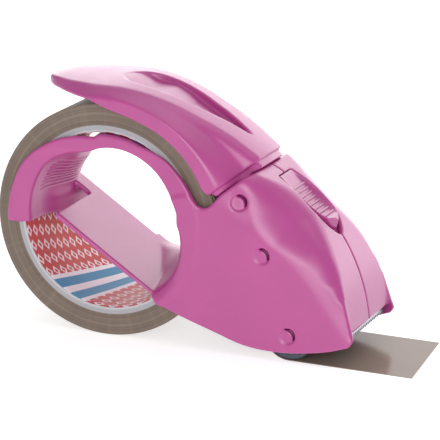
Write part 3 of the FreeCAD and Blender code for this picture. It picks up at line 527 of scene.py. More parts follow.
@dataclass
class Pattern(NodeTree):
    """Geometry Nodes tree that repeats a part or draws a wire, turned into a plain mesh."""

    name: str
    layout: Layout
    material: Material

    def __post_init__(self) -> None:
        """Starts the tree with its geometry going in and coming out."""
        self.tree = bpy.data.node_groups.new(self.name, "GeometryNodeTree")
        self.values: dict[str, object] = {}
        for way in ("INPUT", "OUTPUT"):
            self.tree.interface.new_socket("Geometry", in_out=way,
                                           socket_type="NodeSocketGeometry")

    def size(self, name: str, kind: str, value: object) -> None:
        """Adds a named input of the tree with its value."""
        item = self.tree.interface.new_socket(name, in_out="INPUT",
                                              socket_type=f"NodeSocket{kind}")
        self.values[item.identifier] = value

    def attribute(self, name: str) -> Socket:
        """Vector that every point carries under a name."""
        return self.add("GeometryNodeInputNamedAttribute", {"Name": name},
                        data_type="FLOAT_VECTOR").outputs[0]

    def grow(self, piece: Piece) -> Piece:
        """Builds the tree for the layout and runs it.

        Args:
            piece: Object that the tree works on.

        Returns:
            The same object with the plain mesh that came out.
        """
        self.size("Material", "Material", self.material)
        given = self.add("NodeGroupInput").outputs
        if self.layout is Layout.WIRE:
            path = self.add("GeometryNodeMeshToCurve", {"Mesh": given["Geometry"]})
            ring = self.add("GeometryNodeCurvePrimitiveCircle", {
                "Resolution": given["Sides"], "Radius": given["Radius"]})
            swept = self.add("GeometryNodeCurveToMesh", {
                "Curve": path.outputs[0], "Profile Curve": ring.outputs[0], "Fill Caps": True})
            made = self.add("GeometryNodeSetShadeSmooth", {"Geometry": swept.outputs[0]})
        elif self.layout is Layout.ROW:
            points = self.add("GeometryNodeMeshLine", {
                "Count": given["Count"], "Start Location": given["Start"],
                "Offset": given["Step"]}, mode="OFFSET")
            made = self.add("GeometryNodeInstanceOnPoints", {
                "Points": points.outputs[0], "Instance": given["Geometry"]})
        else:
            part = self.add("GeometryNodeObjectInfo", {"Object": given["Part"]})
            made = self.add("GeometryNodeInstanceOnPoints", {
                "Points": given["Geometry"], "Instance": part.outputs["Geometry"],
                "Rotation": self.attribute("turn"), "Scale": self.attribute("size")})
        real = self.add("GeometryNodeRealizeInstances", {"Geometry": made.outputs[0]})
        dressed = self.add("GeometryNodeSetMaterial", {
            "Geometry": real.outputs[0], "Material": given["Material"]})
        self.add("NodeGroupOutput", {"Geometry": dressed.outputs[0]})
        step = piece.modifiers.new(self.name, "NODES")
        step.node_group = self.tree
        for identifier, value in self.values.items():
            step[identifier] = value
        bake_modifiers(piece)
        check_outward(piece)
        return piece

    def seed(self, name: str, chains: Sequence[Sequence[Vector]]) -> Piece:
        """Object with bare points.

        Args:
            name: Name of the object.
            chains: Chains of points, each joined in its order.

        Returns:
            The object.
        """
        mesh = bpy.data.meshes.new(name)
        spots, edges = [], []
        for chain in chains:
            edges += [(len(spots) + i, len(spots) + i + 1) for i in range(len(chain) - 1)]
            spots += [tuple(spot) for spot in chain]
        mesh.from_pydata(spots, edges, [])
        return stand(name, mesh)

    def copies(self, part: Piece, places: Sequence[Vector], turns: Sequence[Spot],
               sizes: Sequence[Spot] | None = None) -> Piece:
        """Copies of a part at given places.

        Args:
            part: The part, about the world's origin.
            places: Place of each copy in metres.
            turns: Turn of each copy in radians.
            sizes: Scale of each copy, or none for copies in full size.

        Returns:
            All copies as one mesh; the part is removed.
        """
        piece = self.seed(self.name, [[place] for place in places])
        full = [(1.0, 1.0, 1.0)] * len(places)
        for name, rows in (("turn", turns), ("size", sizes or full)):
            layer = piece.data.attributes.new(name, "FLOAT_VECTOR", "POINT")
            layer.data.foreach_set("vector", [value for row in rows for value in row])
        self.size("Part", "Object", part)
        self.grow(piece)
        bpy.data.objects.remove(part)
        return piece

    def row(self, part: Piece, count: int, start: Vector, step: Vector) -> Piece:
        """Even row of copies of a part.

        Args:
            part: The part, about the world's origin.
            count: Number of copies.
            start: Place of the first copy in metres.
            step: Way from one copy to the next in metres.

        Returns:
            All copies as one mesh.
        """
        part.name = self.name
        self.size("Count", "Int", count)
        self.size("Start", "Vector", start)
        self.size("Step", "Vector", step)
        return self.grow(part)

    def wire(self, paths: Sequence[Sequence[Vector]], radius: float, sides: int) -> Piece:
        """Round wires along paths, their ends closed.

        Args:
            paths: Points of each path in metres.
            radius: Radius of the wire in metres.
            sides: Number of sides round the wire.

        Returns:
            All wires as one mesh.
        """
        piece = self.seed(self.name, paths)
        self.size("Radius", "Float", radius)
        self.size("Sides", "Int", sides)
        return self.grow(piece)


# Finishes


@dataclass
class Shader(NodeTree):
    """Node tree of one material."""

    name: str

    def __post_init__(self) -> None:
        """Starts an empty material with its output and its main shader."""
        self.material = bpy.data.materials.new(self.name)
        self.material.use_nodes = True
        self.tree = self.material.node_tree
        self.tree.nodes.clear()
        self.surface = self.add("ShaderNodeBsdfPrincipled")
        output = self.add("ShaderNodeOutputMaterial")
        self.tree.links.new(self.surface.outputs["BSDF"], output.inputs["Surface"])

    def place(self) -> Socket:
        """Place on the piece about the roll's axis, in metres."""
        return self.add("ShaderNodeMapping", {
            "Vector": self.add("ShaderNodeTexCoord").outputs["Object"],
            "Location": (-AXIS_X * MM, 0.0, -AXIS_Z * MM)}).outputs[0]

    def across_axis(self, place: Socket) -> tuple[Socket, Socket]:
        """Place seen along the roll's axis.

        Args:
            place: Place on the piece.

        Returns:
            The place without its share along the axis, and its radius.
        """
        parts = self.add("ShaderNodeSeparateXYZ", {"Vector": place}).outputs
        flat = self.add("ShaderNodeCombineXYZ", {"X": parts["X"], "Z": parts["Z"]}).outputs[0]
        return flat, self.add("ShaderNodeVectorMath", {0: flat},
                              operation="LENGTH").outputs["Value"]

    def layers(self, height: Socket, scale: float, detail: float) -> Socket:
        """Random value that changes along one measure only."""
        return self.add("ShaderNodeTexNoise", {"W": height, "Scale": scale, "Detail": detail},
                        noise_dimensions="1D").outputs["Fac"]

    def math(self, operation: str, a: Socket | float, b: Socket | float = 0.0) -> Socket:
        """Result of one sum on one or two values."""
        return self.add("ShaderNodeMath", {0: a, 1: b}, operation=operation).outputs[0]

    def noise(self, place: Socket, scale: float, detail: float = 2.0,
              roughness: float = 0.5) -> Socket:
        """Soft random value between 0 and 1, scale in features per metre."""
        return self.add("ShaderNodeTexNoise", {"Vector": place, "Scale": scale, "Detail": detail,
                                               "Roughness": roughness}).outputs["Fac"]

    def span(self, value: Socket, low: float, high: float, from_low: float = 0.0,
             from_high: float = 1.0) -> Socket:
        """Value carried from one range to another."""
        return self.add("ShaderNodeMapRange", {
            "Value": value, "From Min": from_low, "From Max": from_high,
            "To Min": low, "To Max": high}).outputs["Result"]

    def mix(self, share: Socket, first: Socket | Colour, second: Socket | Colour) -> Socket:
        """Colour between two colours.

        Args:
            share: Share of the second colour.
            first: Colour, or socket that gives it.
            second: Colour, or socket that gives it.

        Returns:
            Socket with the colour.
        """
        ends = [end if isinstance(end, Socket) else colour(*end) for end in (first, second)]
        node = self.add("ShaderNodeMix", data_type="RGBA")
        self.feed(node, {0: share, 6: ends[0], 7: ends[1]})
        return node.outputs[2]

    def tint(self, value: Socket, start: float, end: float, first: Socket | Colour,
             second: Socket | Colour, most: float = 1.0) -> Socket:
        """Colour that turns from the first towards the second as a value rises."""
        return self.mix(self.span(value, 0.0, most, start, end), first, second)

    def bump(self, height: Socket, depth: float, strength: float = 1.0,
             normal: Socket | None = None) -> Socket:
        """Surface direction for a pattern of heights.

        Args:
            height: The pattern.
            depth: Its depth in metres.
            strength: Share of it that shows.
            normal: Direction of the surface below, if it isn't the mesh's own.

        Returns:
            Socket with the direction.
        """
        sockets = {"Height": height, "Distance": depth, "Strength": strength}
        if normal is not None:
            sockets["Normal"] = normal
        return self.add("ShaderNodeBump", sockets).outputs["Normal"]


def colour(red: int, green: int, blue: int) -> tuple[float, float, float, float]:
    """Colour on a screen as the renderer's linear colour.

    Args:
        red: Red from 0 to 255.
        green: Green from 0 to 255.
        blue: Blue from 0 to 255.

    Returns:
        Linear red, green and blue, and full cover.
    """
    parts = [part / 255.0 for part in (red, green, blue)]
    linear = [p / 12.92 if p <= 0.04045 else ((p + 0.055) / 1.055) ** 2.4 for p in parts]
    return (*linear, 1.0)


@dataclass(frozen=True)
class MouldedPlastic:
    """Satin moulded plastic with a faint eroded grain and flow clouds."""

    name: str
    base: Colour
    deep: Colour
    roughness: float = 0.34
    grain: float = 0.00002
    gloss: float = 1.6

    def build(self) -> Material:
        """Makes the material.

        Returns:
            The material.
        """
        shader = Shader(self.name)
        place = shader.place()
        clouds = shader.noise(place, 45.0, 3.0)
        fine = shader.noise(place, 2600.0, 2.0)
        tone = shader.tint(clouds, 0.35, 0.7, self.base, self.deep)
        rough = shader.span(shader.noise(place, 320.0, 4.0), self.roughness - 0.05,
                            self.roughness + 0.06)
        shader.feed(shader.surface, {
            "Base Color": tone, "Roughness": rough,
            "Normal": shader.bump(fine, self.grain, 0.6),
            "IOR": self.gloss, "Coat Weight": 0.35, "Coat Roughness": 0.3})
        return shader.material


@dataclass(frozen=True)
class WoundEdges:
    """Side of the wound tape: film edges in fine rings, smoky in places."""

    name: str
    base: Colour
    dark: Colour
    pale: Colour

    def build(self) -> Material:
        """Makes the material.

        Returns:
            The material.
        """
        shader = Shader(self.name)
        flat, radius = shader.across_axis(shader.place())
        rings = shader.layers(radius, 2400.0, 3.0)
        bands = shader.layers(radius, 420.0, 1.0)
        smoke = shader.noise(flat, 60.0, 3.0)
        angle = shader.add("ShaderNodeVectorMath", {0: flat}, operation="NORMALIZE").outputs[0]
        streaks = shader.noise(angle, 14.0, 4.0, 0.7)
        lines = shader.tint(rings, 0.3, 0.7, self.dark, self.base)
        wide = shader.tint(bands, 0.35, 0.7, lines, self.pale, 0.45)
        cloudy = shader.tint(smoke, 0.4, 0.75, wide, self.dark, 0.35)
        tone = shader.tint(streaks, 0.5, 0.75, cloudy, self.pale, 0.3)
        shader.feed(shader.surface, {
            "Base Color": tone,
            "Roughness": shader.span(rings, 0.42, 0.62),
            "Normal": shader.bump(rings, 0.00004, 0.7)})
        return shader.material


@dataclass(frozen=True)
class PackingFilm:
    """Glossy tan film with faint draw lines along it."""

    name: str
    base: Colour
    dark: Colour
    gloss: float = 1.15

    def build(self) -> Material:
        """Makes the material.

        Returns:
            The material.
        """
        shader = Shader(self.name)
        place = shader.place()
        stretched = shader.add("ShaderNodeMapping", {
            "Vector": place, "Scale": (0.08, 1.0, 0.08)}).outputs[0]
        lines = shader.noise(stretched, 1500.0, 3.0)
        clouds = shader.noise(place, 70.0, 2.0)
        drawn = shader.tint(lines, 0.35, 0.7, self.base, self.dark, 0.35)
        tone = shader.tint(clouds, 0.4, 0.7, drawn, self.dark, 0.25)
        shader.feed(shader.surface, {
            "Base Color": tone, "Roughness": shader.span(clouds, 0.12, 0.22),
            "Normal": shader.bump(lines, 0.00001, 0.5), "IOR": self.gloss})
        return shader.material


@dataclass(frozen=True)
class Paperboard:
    """Grey wound paperboard: plies on its edge, fibres all over."""

    name: str
    base: Colour
    pale: Colour
    fibre: Colour = (118, 116, 120)

    def build(self) -> Material:
        """Makes the material.

        Returns:
            The material.
        """
        shader = Shader(self.name)
        place = shader.place()
        _, radius = shader.across_axis(place)
        plies = shader.layers(radius, 1900.0, 1.0)
        fibres = shader.noise(place, 1400.0, 5.0, 0.7)
        inner = shader.span(radius, 1.0, 0.0, 0.0384, 0.0392)
        ply = shader.tint(plies, 0.35, 0.7, self.base, self.pale, 0.5)
        rim = shader.mix(inner, ply, self.pale)
        tone = shader.tint(fibres, 0.4, 0.8, rim, self.fibre, 0.25)
        shader.feed(shader.surface, {
            "Base Color": tone, "Roughness": shader.span(fibres, 0.75, 0.92),
            "Normal": shader.bump(fibres, 0.00006, 0.8)})
        return shader.material


@dataclass(frozen=True)
class LinerPrint:
    """Generic print of the core's liner: slanted bands and rows of lozenges.

    Sizes are in millimetres on the unrolled liner.
    """

    name: str
    red: Colour = (198, 36, 40)
    deep_red: Colour = (180, 28, 34)
    line: Colour = (238, 226, 228)
    white: Colour = (240, 238, 242)
    blue: Colour = (22, 132, 180)
    period: float = 59.6
    shift: float = 9.0
    slant: float = 0.22
    white_half: float = 9.5
    blue_middle: float = 4.6
    blue_half: float = 2.6
    lozenge: float = 6.6
    gloss: float = 1.3

    def build(self) -> Material:
        """Makes the material.

        Returns:
            The material.
        """
        shader = Shader(self.name)
        spot = shader.add("ShaderNodeUVMap", uv_map="print").outputs[0]
        parts = shader.add("ShaderNodeSeparateXYZ", {"Vector": spot}).outputs
        around, across = parts["X"], parts["Y"]
        run = shader.math("ADD", around, shader.math("MULTIPLY", across, self.slant))
        phase = shader.math("PINGPONG", shader.math("ADD", run, self.shift), self.period / 2.0)
        white = shader.math("LESS_THAN", phase, self.white_half)
        blue = shader.math("LESS_THAN", shader.math("ABSOLUTE", shader.math(
            "SUBTRACT", phase, self.blue_middle)), self.blue_half)
        u = shader.math("PINGPONG", run, self.lozenge / 2.0)
        v = shader.math("PINGPONG", across, self.lozenge * 0.4)
        diamond = shader.math("ADD", shader.math("DIVIDE", u, self.lozenge / 2.0),
                              shader.math("DIVIDE", v, self.lozenge * 0.4))
        mark = shader.math("LESS_THAN", shader.math("ABSOLUTE", shader.math(
            "SUBTRACT", diamond, 0.62)), 0.2)
        ink = shader.noise(shader.place(), 900.0, 4.0)
        red = shader.tint(ink, 0.4, 0.8, self.red, self.deep_red, 0.3)
        ground = shader.mix(mark, red, self.line)
        band = shader.mix(white, ground, self.white)
        tone = shader.mix(blue, band, self.blue)
        shader.feed(shader.surface, {
            "Base Color": tone, "Roughness": shader.span(ink, 0.38, 0.52),
            "Normal": shader.bump(ink, 0.00002, 0.5), "IOR": self.gloss})
        return shader.material


@dataclass(frozen=True)
class Rubber:
    """Matt rubber with a fine moulded speckle."""

    name: str
    base: Colour
    pale: Colour

    def build(self) -> Material:
        """Makes the material.

        Returns:
            The material.
        """
        shader = Shader(self.name)
        place = shader.place()
        speckle = shader.noise(place, 1800.0, 4.0, 0.65)
        wear = shader.noise(place, 160.0, 3.0)
        tone = shader.tint(wear, 0.35, 0.7, self.base, self.pale, 0.7)
        shader.feed(shader.surface, {
            "Base Color": tone, "Roughness": shader.span(speckle, 0.55, 0.78),
            "Normal": shader.bump(speckle, 0.00005, 0.7)})
        return shader.material


@dataclass(frozen=True)
class Metal:
    """Drawn or ground steel with fine lines along one direction."""

    name: str
    base: Colour
    roughness: float
    lines: Spot
    lighter: int = 12

    def build(self) -> Material:
        """Makes the material.

        Returns:
            The material.
        """
        shader = Shader(self.name)
        place = shader.place()
        drawn = shader.add("ShaderNodeMapping", {"Vector": place, "Scale": self.lines}).outputs[0]
        lines = shader.noise(drawn, 2500.0, 4.0, 0.6)
        stain = shader.noise(place, 130.0, 3.0)
        pale = tuple(part + self.lighter for part in self.base)
        tone = shader.tint(stain, 0.3, 0.7, self.base, pale)
        shader.feed(shader.surface, {
            "Base Color": tone, "Metallic": 1.0,
            "Roughness": shader.span(lines, self.roughness - 0.06, self.roughness + 0.1),
            "Normal": shader.bump(lines, 0.000012, 0.6)})
        return shader.material


@dataclass
class Finishes:
    """Every finish of the dispenser, by the record's material slot."""

    made: dict[str, Material] = field(default_factory=dict)

    def __post_init__(self) -> None:
        """Builds the materials."""
        specs = {
            "pink_plastic": MouldedPlastic("pink_plastic", (179, 65, 138), (174, 62, 134)),
            "inner_plastic": MouldedPlastic("inner_plastic", (204, 205, 209), (192, 194, 199),
                                            0.45),
            "tape_side": WoundEdges("tape_side", (116, 98, 86), (86, 75, 65), (152, 134, 119)),
            "tape_film": PackingFilm("tape_film", (146, 130, 119), (134, 118, 107)),
            "paperboard": Paperboard("paperboard", (158, 158, 163), (202, 201, 205)),
            "liner_print": LinerPrint("liner_print"),
            "rubber": Rubber("rubber", (58, 62, 74), (86, 94, 108)),
            "pad_rubber": Rubber("pad_rubber", (52, 52, 54), (66, 66, 68)),
            "steel": Metal("steel", (138, 138, 148), 0.28, (1.0, 0.04, 1.0)),
            "spring_steel": Metal("spring_steel", (178, 180, 184), 0.2, (0.1, 1.0, 1.0)),
        }
        for slot, spec in specs.items():
            self.made[slot] = spec.build()

    def dress(self, piece: Piece, *slots: str) -> None:
        """Puts finishes on a piece in place of what it had.

        Args:
            piece: The piece.
            slots: The record's slot for each of its finishes.
        """
        piece.data.materials.clear()
        for slot in slots:
            piece.data.materials.append(self.made[slot])


def adopt(piece: Piece, body: str, slot: str, *nodes: str) -> None:
    """Sets a finished piece on its body in place of CAD nodes.

    Args:
        piece: The piece, in place.
        body: Body that it moves with.
        slot: The record's material slot; not used.
        nodes: Nodes that it stands for.
    """
    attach(piece, body)
    if nodes:
        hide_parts(*nodes)
    LOG.info("%s: %d faces on %s", piece.name, len(piece.data.polygons), body)


# The roll


@dataclass
class TapeRoll:
    """Wound tape with its paper core and the printed liner in the core."""

    finishes: Finishes
    radius: float = 50.0
    half_width: float = 25.0
    core_radius: float = 40.8
    bore: float = 38.1
    liner: float = 0.35
    liner_inset: float = 0.7

    def winding(self) -> None:
        """Wound film: glossy outside, stacked edges on both sides."""
        half, soft = self.half_width, 0.25
        profile = [(self.radius, -half + soft), (self.radius, half - soft),
                   (self.radius - soft, half), (self.core_radius, half),
                   (self.core_radius, -half), (self.radius - soft, -half)]
        piece = lathe("tape_winding_turns", profile, rims=(0,), steps=256)
        self.finishes.dress(piece, "tape_side", "tape_film")
        adopt(piece, "roll", "tape_side", "tape_winding")

    def core(self) -> None:
        """Paper core, its edges a little soft."""
        half, soft = self.half_width, 0.2
        inner, outer = self.bore, self.core_radius
        profile = [(outer, -half), (outer, half), (inner + soft, half), (inner, half - soft),
                   (inner, -half + soft), (inner + soft, -half)]
        piece = lathe("tape_core_board", profile, steps=192)
        self.finishes.dress(piece, "paperboard")
        adopt(piece, "roll", "paperboard", "tape_core")

    def lining(self) -> None:
        """Printed paper inside the core."""
        half = self.half_width - self.liner_inset
        inner, outer = self.bore - self.liner, self.bore
        profile = [(inner, half), (inner, -half), (outer, -half), (outer, half)]
        piece = lathe("core_liner_print", profile, steps=192)
        self.finishes.dress(piece, "liner_print")
        adopt(piece, "roll", "liner_print", "core_liner")

    def build(self) -> None:
        """Makes the whole roll."""
        self.winding()
        self.core()
        self.lining()


# The casing


# Lever pivot, middle screw and roller axle: a screw passes through each of them
BOSSES = ((60.009, 15.185), (71.2, -5.8), (83.5, -38.6))


@dataclass
class Casing:
    """Two moulded halves: side walls, rounded nose, finger hub and grip plate."""

    finishes: Finishes
    half_width: float = 28.4
    flank_step: float = 2.5
    wall: float = 2.3
    nose_radius: float = 77.5
    nose: Point = (32.703, -44.418)
    cheek_angle: float = 18.73
    foot_angle: float = 6.53
    corner_angle: float = 66.4
    cheek: Point = (106.1, -19.53)
    chin: Point = (112.0, -37.5)
    neck: Point = (49.5, 20.3)
    neck_angle: float = 39.4
    neck_top: float = 16.5
    neck_gap: float = 3.4
    neck_flare: float = 0.8
    foot_reach: float = 77.0
    slot_floor: float = 68.0
    post_radius: float = 3.95
    dimple_radius: float = 3.35
    dimple_floor: float = 0.6
    pin_radius: float = 3.2
    pin_shift: Point = (0.95, 0.85)
    screw_sink: float = 3.3
    screw_seat: float = 25.0
    roll_clear: float = 51.5
    far_clear: float = 52.0
    hub_radius: float = 37.4
    hub_near: float = -27.1
    hub_far: float = 22.0
    roll_face: float = -25.3
    plate_drop: float = 13.6
    plate_angle: float = 33.0
    plate_wall: float = 2.2
    plate_notch: Point = (-23.0, 9.6)
    plate_end: Point = (4.0, 19.5)
    rear_thick: float = 2.4
    rib_start: float = 143.0
    rib_pitch: float = 3.1
    rib_count: int = 9
    rib_radius: float = 0.5
    rib_depths: tuple[float, ...] = (-19.0, -17.0, -13.0, -9.0, -5.0, -1.0, 3.0, 6.0, 9.0, 13.0,
                                     17.0, 21.0)
    rib_sinks: tuple[float, ...] = (0.9, 0.2, 0.0, -0.05, -0.1, -0.1, -0.1, -0.1, -0.1, -0.1,
                                    0.2, 0.9)
    step: float = 0.5

    def neck_frame(self, mould: Mould) -> tuple[Grid, Grid]:
        """Distances along the lever's end line and past it towards the nose.

        Args:
            mould: Block whose samples are measured.

        Returns:
            Distance along the line and distance past it.
        """
        turn = math.radians(self.neck_angle)
        dx, dz = mould.x - self.neck[0], mould.z - self.neck[1]
        return (dx * math.cos(turn) + dz * math.sin(turn),
                dx * math.sin(turn) - dz * math.cos(turn))

    def along_nose(self, angle: Grid) -> Grid:
        """Length along the nose from its upper corner at an angle."""
        return np.radians(self.corner_angle - angle) * self.nose_radius

    def half(self, mould: Mould) -> Grid:
        """Half of the outside width: the upper flank steps in behind a soft band.

        Args:
            mould: Block of the casing.

        Returns:
            Half width at every place of the side.
        """
        band = smooth_path([(45.0, 27.0), (50.0, 21.5), (56.5, 15.5), (63.7, 10.4), (69.9, 7.4),
                            (77.0, 2.8), (83.3, -2.4), (89.7, -8.8), (96.9, -16.6),
                            (104.2, -26.2), (111.0, -35.0)], 4)
        region = mould.outline(band + [(150.0, -35.0), (150.0, 80.0), (45.0, 80.0)])
        crease = smooth_path([(29.0, -19.2), (31.4, -20.2), (39.0, -24.4), (48.8, -28.1),
                              (60.0, -31.0)], 4)
        line = mould.outline(crease + crease[-2:0:-1])
        soft = through(mould.x, [50.0, 75.0, 110.0], [7.8, 6.6, 5.0])
        return (self.half_width - self.flank_step * ease(-region / soft, -1.0, 1.0)
                - 0.16 * np.exp(-(line / 0.9) ** 2))

    def rim(self, angle: Grid) -> Grid:
        """Rounding of the edge between the nose and its flank."""
        return through(
            angle,
            [12.0, 16.0, 18.3, 20.4, 22.6, 25.0, 29.4, 34.0, 38.9, 44.1, 46.8, 51.8, 57.1, 62.5,
             66.0, 71.0],
            [0.8, 1.2, 3.0, 3.9, 5.1, 7.2, 9.0, 11.4, 14.8, 17.9, 18.8, 18.1, 15.6, 10.9, 8.2,
             7.0])

    def side_outline(self) -> list[Point]:
        """Edge of the side walls, left open in front of the nose.

        Returns:
            Corners of the outline.
        """
        belly = smooth_path([(110.2, -40.1), (100.9, -43.2), (90.0, -45.3), (80.0, -46.3),
                             (70.5, -46.2), (61.9, -44.9), (52.6, -42.0), (34.4, -36.2),
                             (24.0, -32.0)], 5)
        bore = arc_path(30.0, -53.0, 25.0)
        notch = smooth_path([(33.5, 14.9), (36.6, 15.6), (39.2, 14.6), (42.2, 12.2),
                             (44.6, 11.5), (47.0, 12.3), (49.2, 14.5), (51.35, 17.42)], 5)
        turn = math.radians(self.neck_angle)
        edge = (notch[-1][0] + 40.0 * math.cos(turn), notch[-1][1] + 40.0 * math.sin(turn))
        return belly + bore + notch + [edge, (140.0, 60.0), (140.0, 0.0), (121.0, -24.5)]

    def slot(self, mould: Mould, radius: Grid, angle: Grid) -> Grid:
        """Boat-shaped slot for the thumb button.

        Args:
            mould: Block of the casing.
            radius: Distance from the nose's centre.
            angle: Angle about it.

        Returns:
            The slot's field.
        """
        along = self.along_nose(angle)
        side = np.abs(mould.y) - BOAT.half_width(along)
        return np.maximum(both(side, within(along, BOAT.start, BOAT.end), 0.8),
                          self.slot_floor - radius)

    def walls(self, mould: Mould, out: Grid) -> Grid:
        """One casing half without the hub.

        Args:
            mould: Block of the half.
            out: Distance from the middle plane towards this half's side.

        Returns:
            The half's field.
        """
        radius, angle = mould.polar(*self.nose)
        half = self.half(mould)
        arc = radius - self.nose_radius
        inner = half - self.wall - out
        cheek = both(mould.side(self.cheek, self.chin), inner, 0.4)
        front = np.where(angle > self.cheek_angle, arc, np.minimum(arc, cheek))
        edge = self.rim(angle)
        body = both(front, out - half, edge)
        body = both(body, mould.outline(self.side_outline()), 0.8)
        along, past = self.neck_frame(mould)
        rise = self.foot_reach * math.tan(math.radians(self.foot_angle))
        foot = (self.nose[0] + self.foot_reach, self.nose[1] + rise)
        room = np.minimum(arc + self.wall, mould.side(self.nose, foot))
        outside = body
        body = less(body, both(room, -inner, np.maximum(edge - self.wall, 0.4)), 0.3)
        opening = both(along - self.neck_top, -inner, 0.5)
        cut = self.neck_gap + self.neck_flare * ease(along, 10.0, 16.0)
        body = less(body, np.maximum(opening, np.abs(past) - cut), 0.5)
        body = less(body, self.slot(mould, radius, angle), 0.45)
        inside = np.maximum(self.fittings(mould, out, radius, angle), outside + 0.8)
        return both(np.minimum(body, inside), 0.1 - out, 0.35)

    def fittings(self, mould: Mould, out: Grid, radius: Grid, angle: Grid) -> Grid:
        """Screw bosses, carrier rail and spring stop inside a half.

        Args:
            mould: Block of the half.
            out: Distance from the middle plane towards this half's side.
            radius: Distance from the nose's centre.
            angle: Angle about it.

        Returns:
            Field of all of them.
        """
        along = self.along_nose(angle)
        inside = out - (self.half_width - 1.5 * self.wall)
        rail = np.maximum(within(radius, 69.6, 71.2), within(along, 26.4, 60.2))
        stop = np.maximum(within(radius, 61.1, 67.9), within(along, 50.8, 53.6))
        parts = np.maximum(np.minimum(np.maximum(rail, 18.1 - out), stop), inside)
        for x, z in BOSSES:
            post = np.hypot(mould.x - x, mould.z - z) - self.post_radius
            parts = np.minimum(parts, np.maximum(post, inside))
        return parts

    def rear_wall(self, depth: Grid, angle: Grid) -> Grid:
        """Radius inside the hub's rear wall: a funnel, waisted towards its far edge.

        Args:
            depth: Place along the roll's axis.
            angle: Angle about it, from -90 to 270 degrees.

        Returns:
            The radius.
        """
        depths = [-27.6, -27.1, -26.6, -26.2, -25.8, -25.2, -24.0, -20.0, -17.0, -14.0, -10.0,
                  -4.0, 2.0, 5.0, 8.0, 13.0, 22.0]
        mouth = [42.0, 40.9, 38.6, 37.2, 36.4, 35.9, 35.5]
        upper = through(depth, depths, mouth + [35.1, 34.6, 33.9, 32.9, 30.9, 29.8, 29.6, 29.9,
                                                31.2, 33.9])
        lower = through(depth, depths, mouth + [35.3, 35.2, 35.1, 34.6, 33.2, 31.9, 31.3, 31.0,
                                                31.2, 34.7])
        foot = through(depth, depths, mouth + [35.3, 35.1, 34.9, 34.2, 32.4, 31.0, 30.3, 29.7,
                                               28.9, 27.9])
        wall = upper + (lower - upper) * ease(angle, 150.0, 167.0)
        return wall + (foot - wall) * ease(angle, 170.0, 180.0)

    def finger_room(self, mould: Mould, radius: Grid, angle: Grid) -> tuple[Grid, Grid]:
        """Open inside of the hub.

        Args:
            mould: Block of the hub.
            radius: Distance from the roll's axis.
            angle: Angle about it, from -90 to 270 degrees.

        Returns:
            Field of the room without the plate, and its radius at the rear.
        """
        arch = through(
            angle,
            [-90.0, -8.0, 1.0, 14.0, 25.0, 45.0, 61.0, 71.0, 80.0, 89.0, 98.0, 104.0, 120.0,
             190.0],
            [46.0, 46.0, 34.2, 33.7, 33.2, 32.9, 32.7, 32.5, 32.2, 31.7, 31.0, 30.3, 30.0, 30.0])
        inner = arch + ease(angle, 103.0, 150.0) * (self.rear_wall(mould.y, angle) - arch)
        stations = [-28.4, -25.0, -10.0, -1.0, 8.0, 14.5, 22.0]
        centre_x = through(mould.y, stations, [7.0, 7.6, 9.0, 11.0, 12.5, 14.0, 15.2])
        centre_z = through(mould.y, stations, [-8.0, -5.8, -3.1, -1.6, -0.4, -0.5, -2.0])
        size = through(mould.y, stations, [28.4, 26.6, 24.9, 22.7, 20.9, 19.5, 18.6])
        slope = math.radians(self.plate_angle)
        reach = (mould.x - centre_x) * math.cos(slope) - (mould.z - centre_z) * math.sin(slope)
        dish = np.hypot(mould.x - centre_x, mould.z - centre_z) - size
        dish = np.where((reach > 0.0) & (mould.z < 2.33), dish, -20.0)
        return np.maximum(radius - inner, dish), inner

    def hub(self, mould: Mould) -> tuple[Grid, Grid]:
        """Finger hub: arch, flared rear wall with its lip, grip plate.

        Args:
            mould: Block of the hub.

        Returns:
            Field of the hub's outside, and field of the room inside it.
        """
        radius, angle = mould.polar()
        angle = np.where(angle < -90.0, angle + 360.0, angle)
        room, inner = self.finger_room(mould, radius, angle)
        slope = math.radians(self.plate_angle)
        above = (mould.z + self.plate_drop) * math.cos(slope) + mould.x * math.sin(slope)
        near = -self.half_width + (self.hub_near + self.half_width) * ease(angle, 18.0, 55.0)
        lip = through(
            angle,
            [12.0, 20.0, 29.0, 38.0, 48.0, 57.0, 66.0, 75.0, 89.0, 99.0, 105.0, 112.0, 119.0,
             126.0, 133.7, 140.6, 147.7, 155.0, 165.0, 174.0, 190.0],
            [42.6, 42.4, 41.6, 40.7, 39.9, 38.6, 37.6, 37.1, 36.6, 36.4, 37.0, 38.1, 39.3, 40.4,
             41.5, 42.7, 43.7, 44.3, 44.6, 45.0, 45.7])
        outer = np.where(angle > 97.0, np.minimum(self.hub_radius, inner + self.rear_thick),
                         self.hub_radius)
        drum = np.maximum(radius - outer, mould.y - self.hub_far)
        rim = np.maximum(radius - lip, mould.y - self.roll_face)
        whole = both(np.minimum(drum, rim), near - mould.y, 0.9)
        low = -5.2 - 0.2 * np.maximum(mould.y + 6.0, 0.0) - mould.z
        below = np.minimum(-self.plate_wall - above, np.maximum(mould.x + 18.0, low))
        whole = both(whole, below, 0.9)
        slab = both(above, -self.plate_wall - above, 0.5)
        notch = both(mould.x - self.plate_notch[0], mould.y - self.plate_notch[1], 1.0)
        past = np.maximum(self.plate_end[1] - mould.y, mould.x - self.plate_end[0])
        slab = less(less(slab, notch, 0.5), past, 0.5)
        slab = both(slab, -26.4 - mould.y, 0.5)
        return whole, less(room, slab, 0.4)

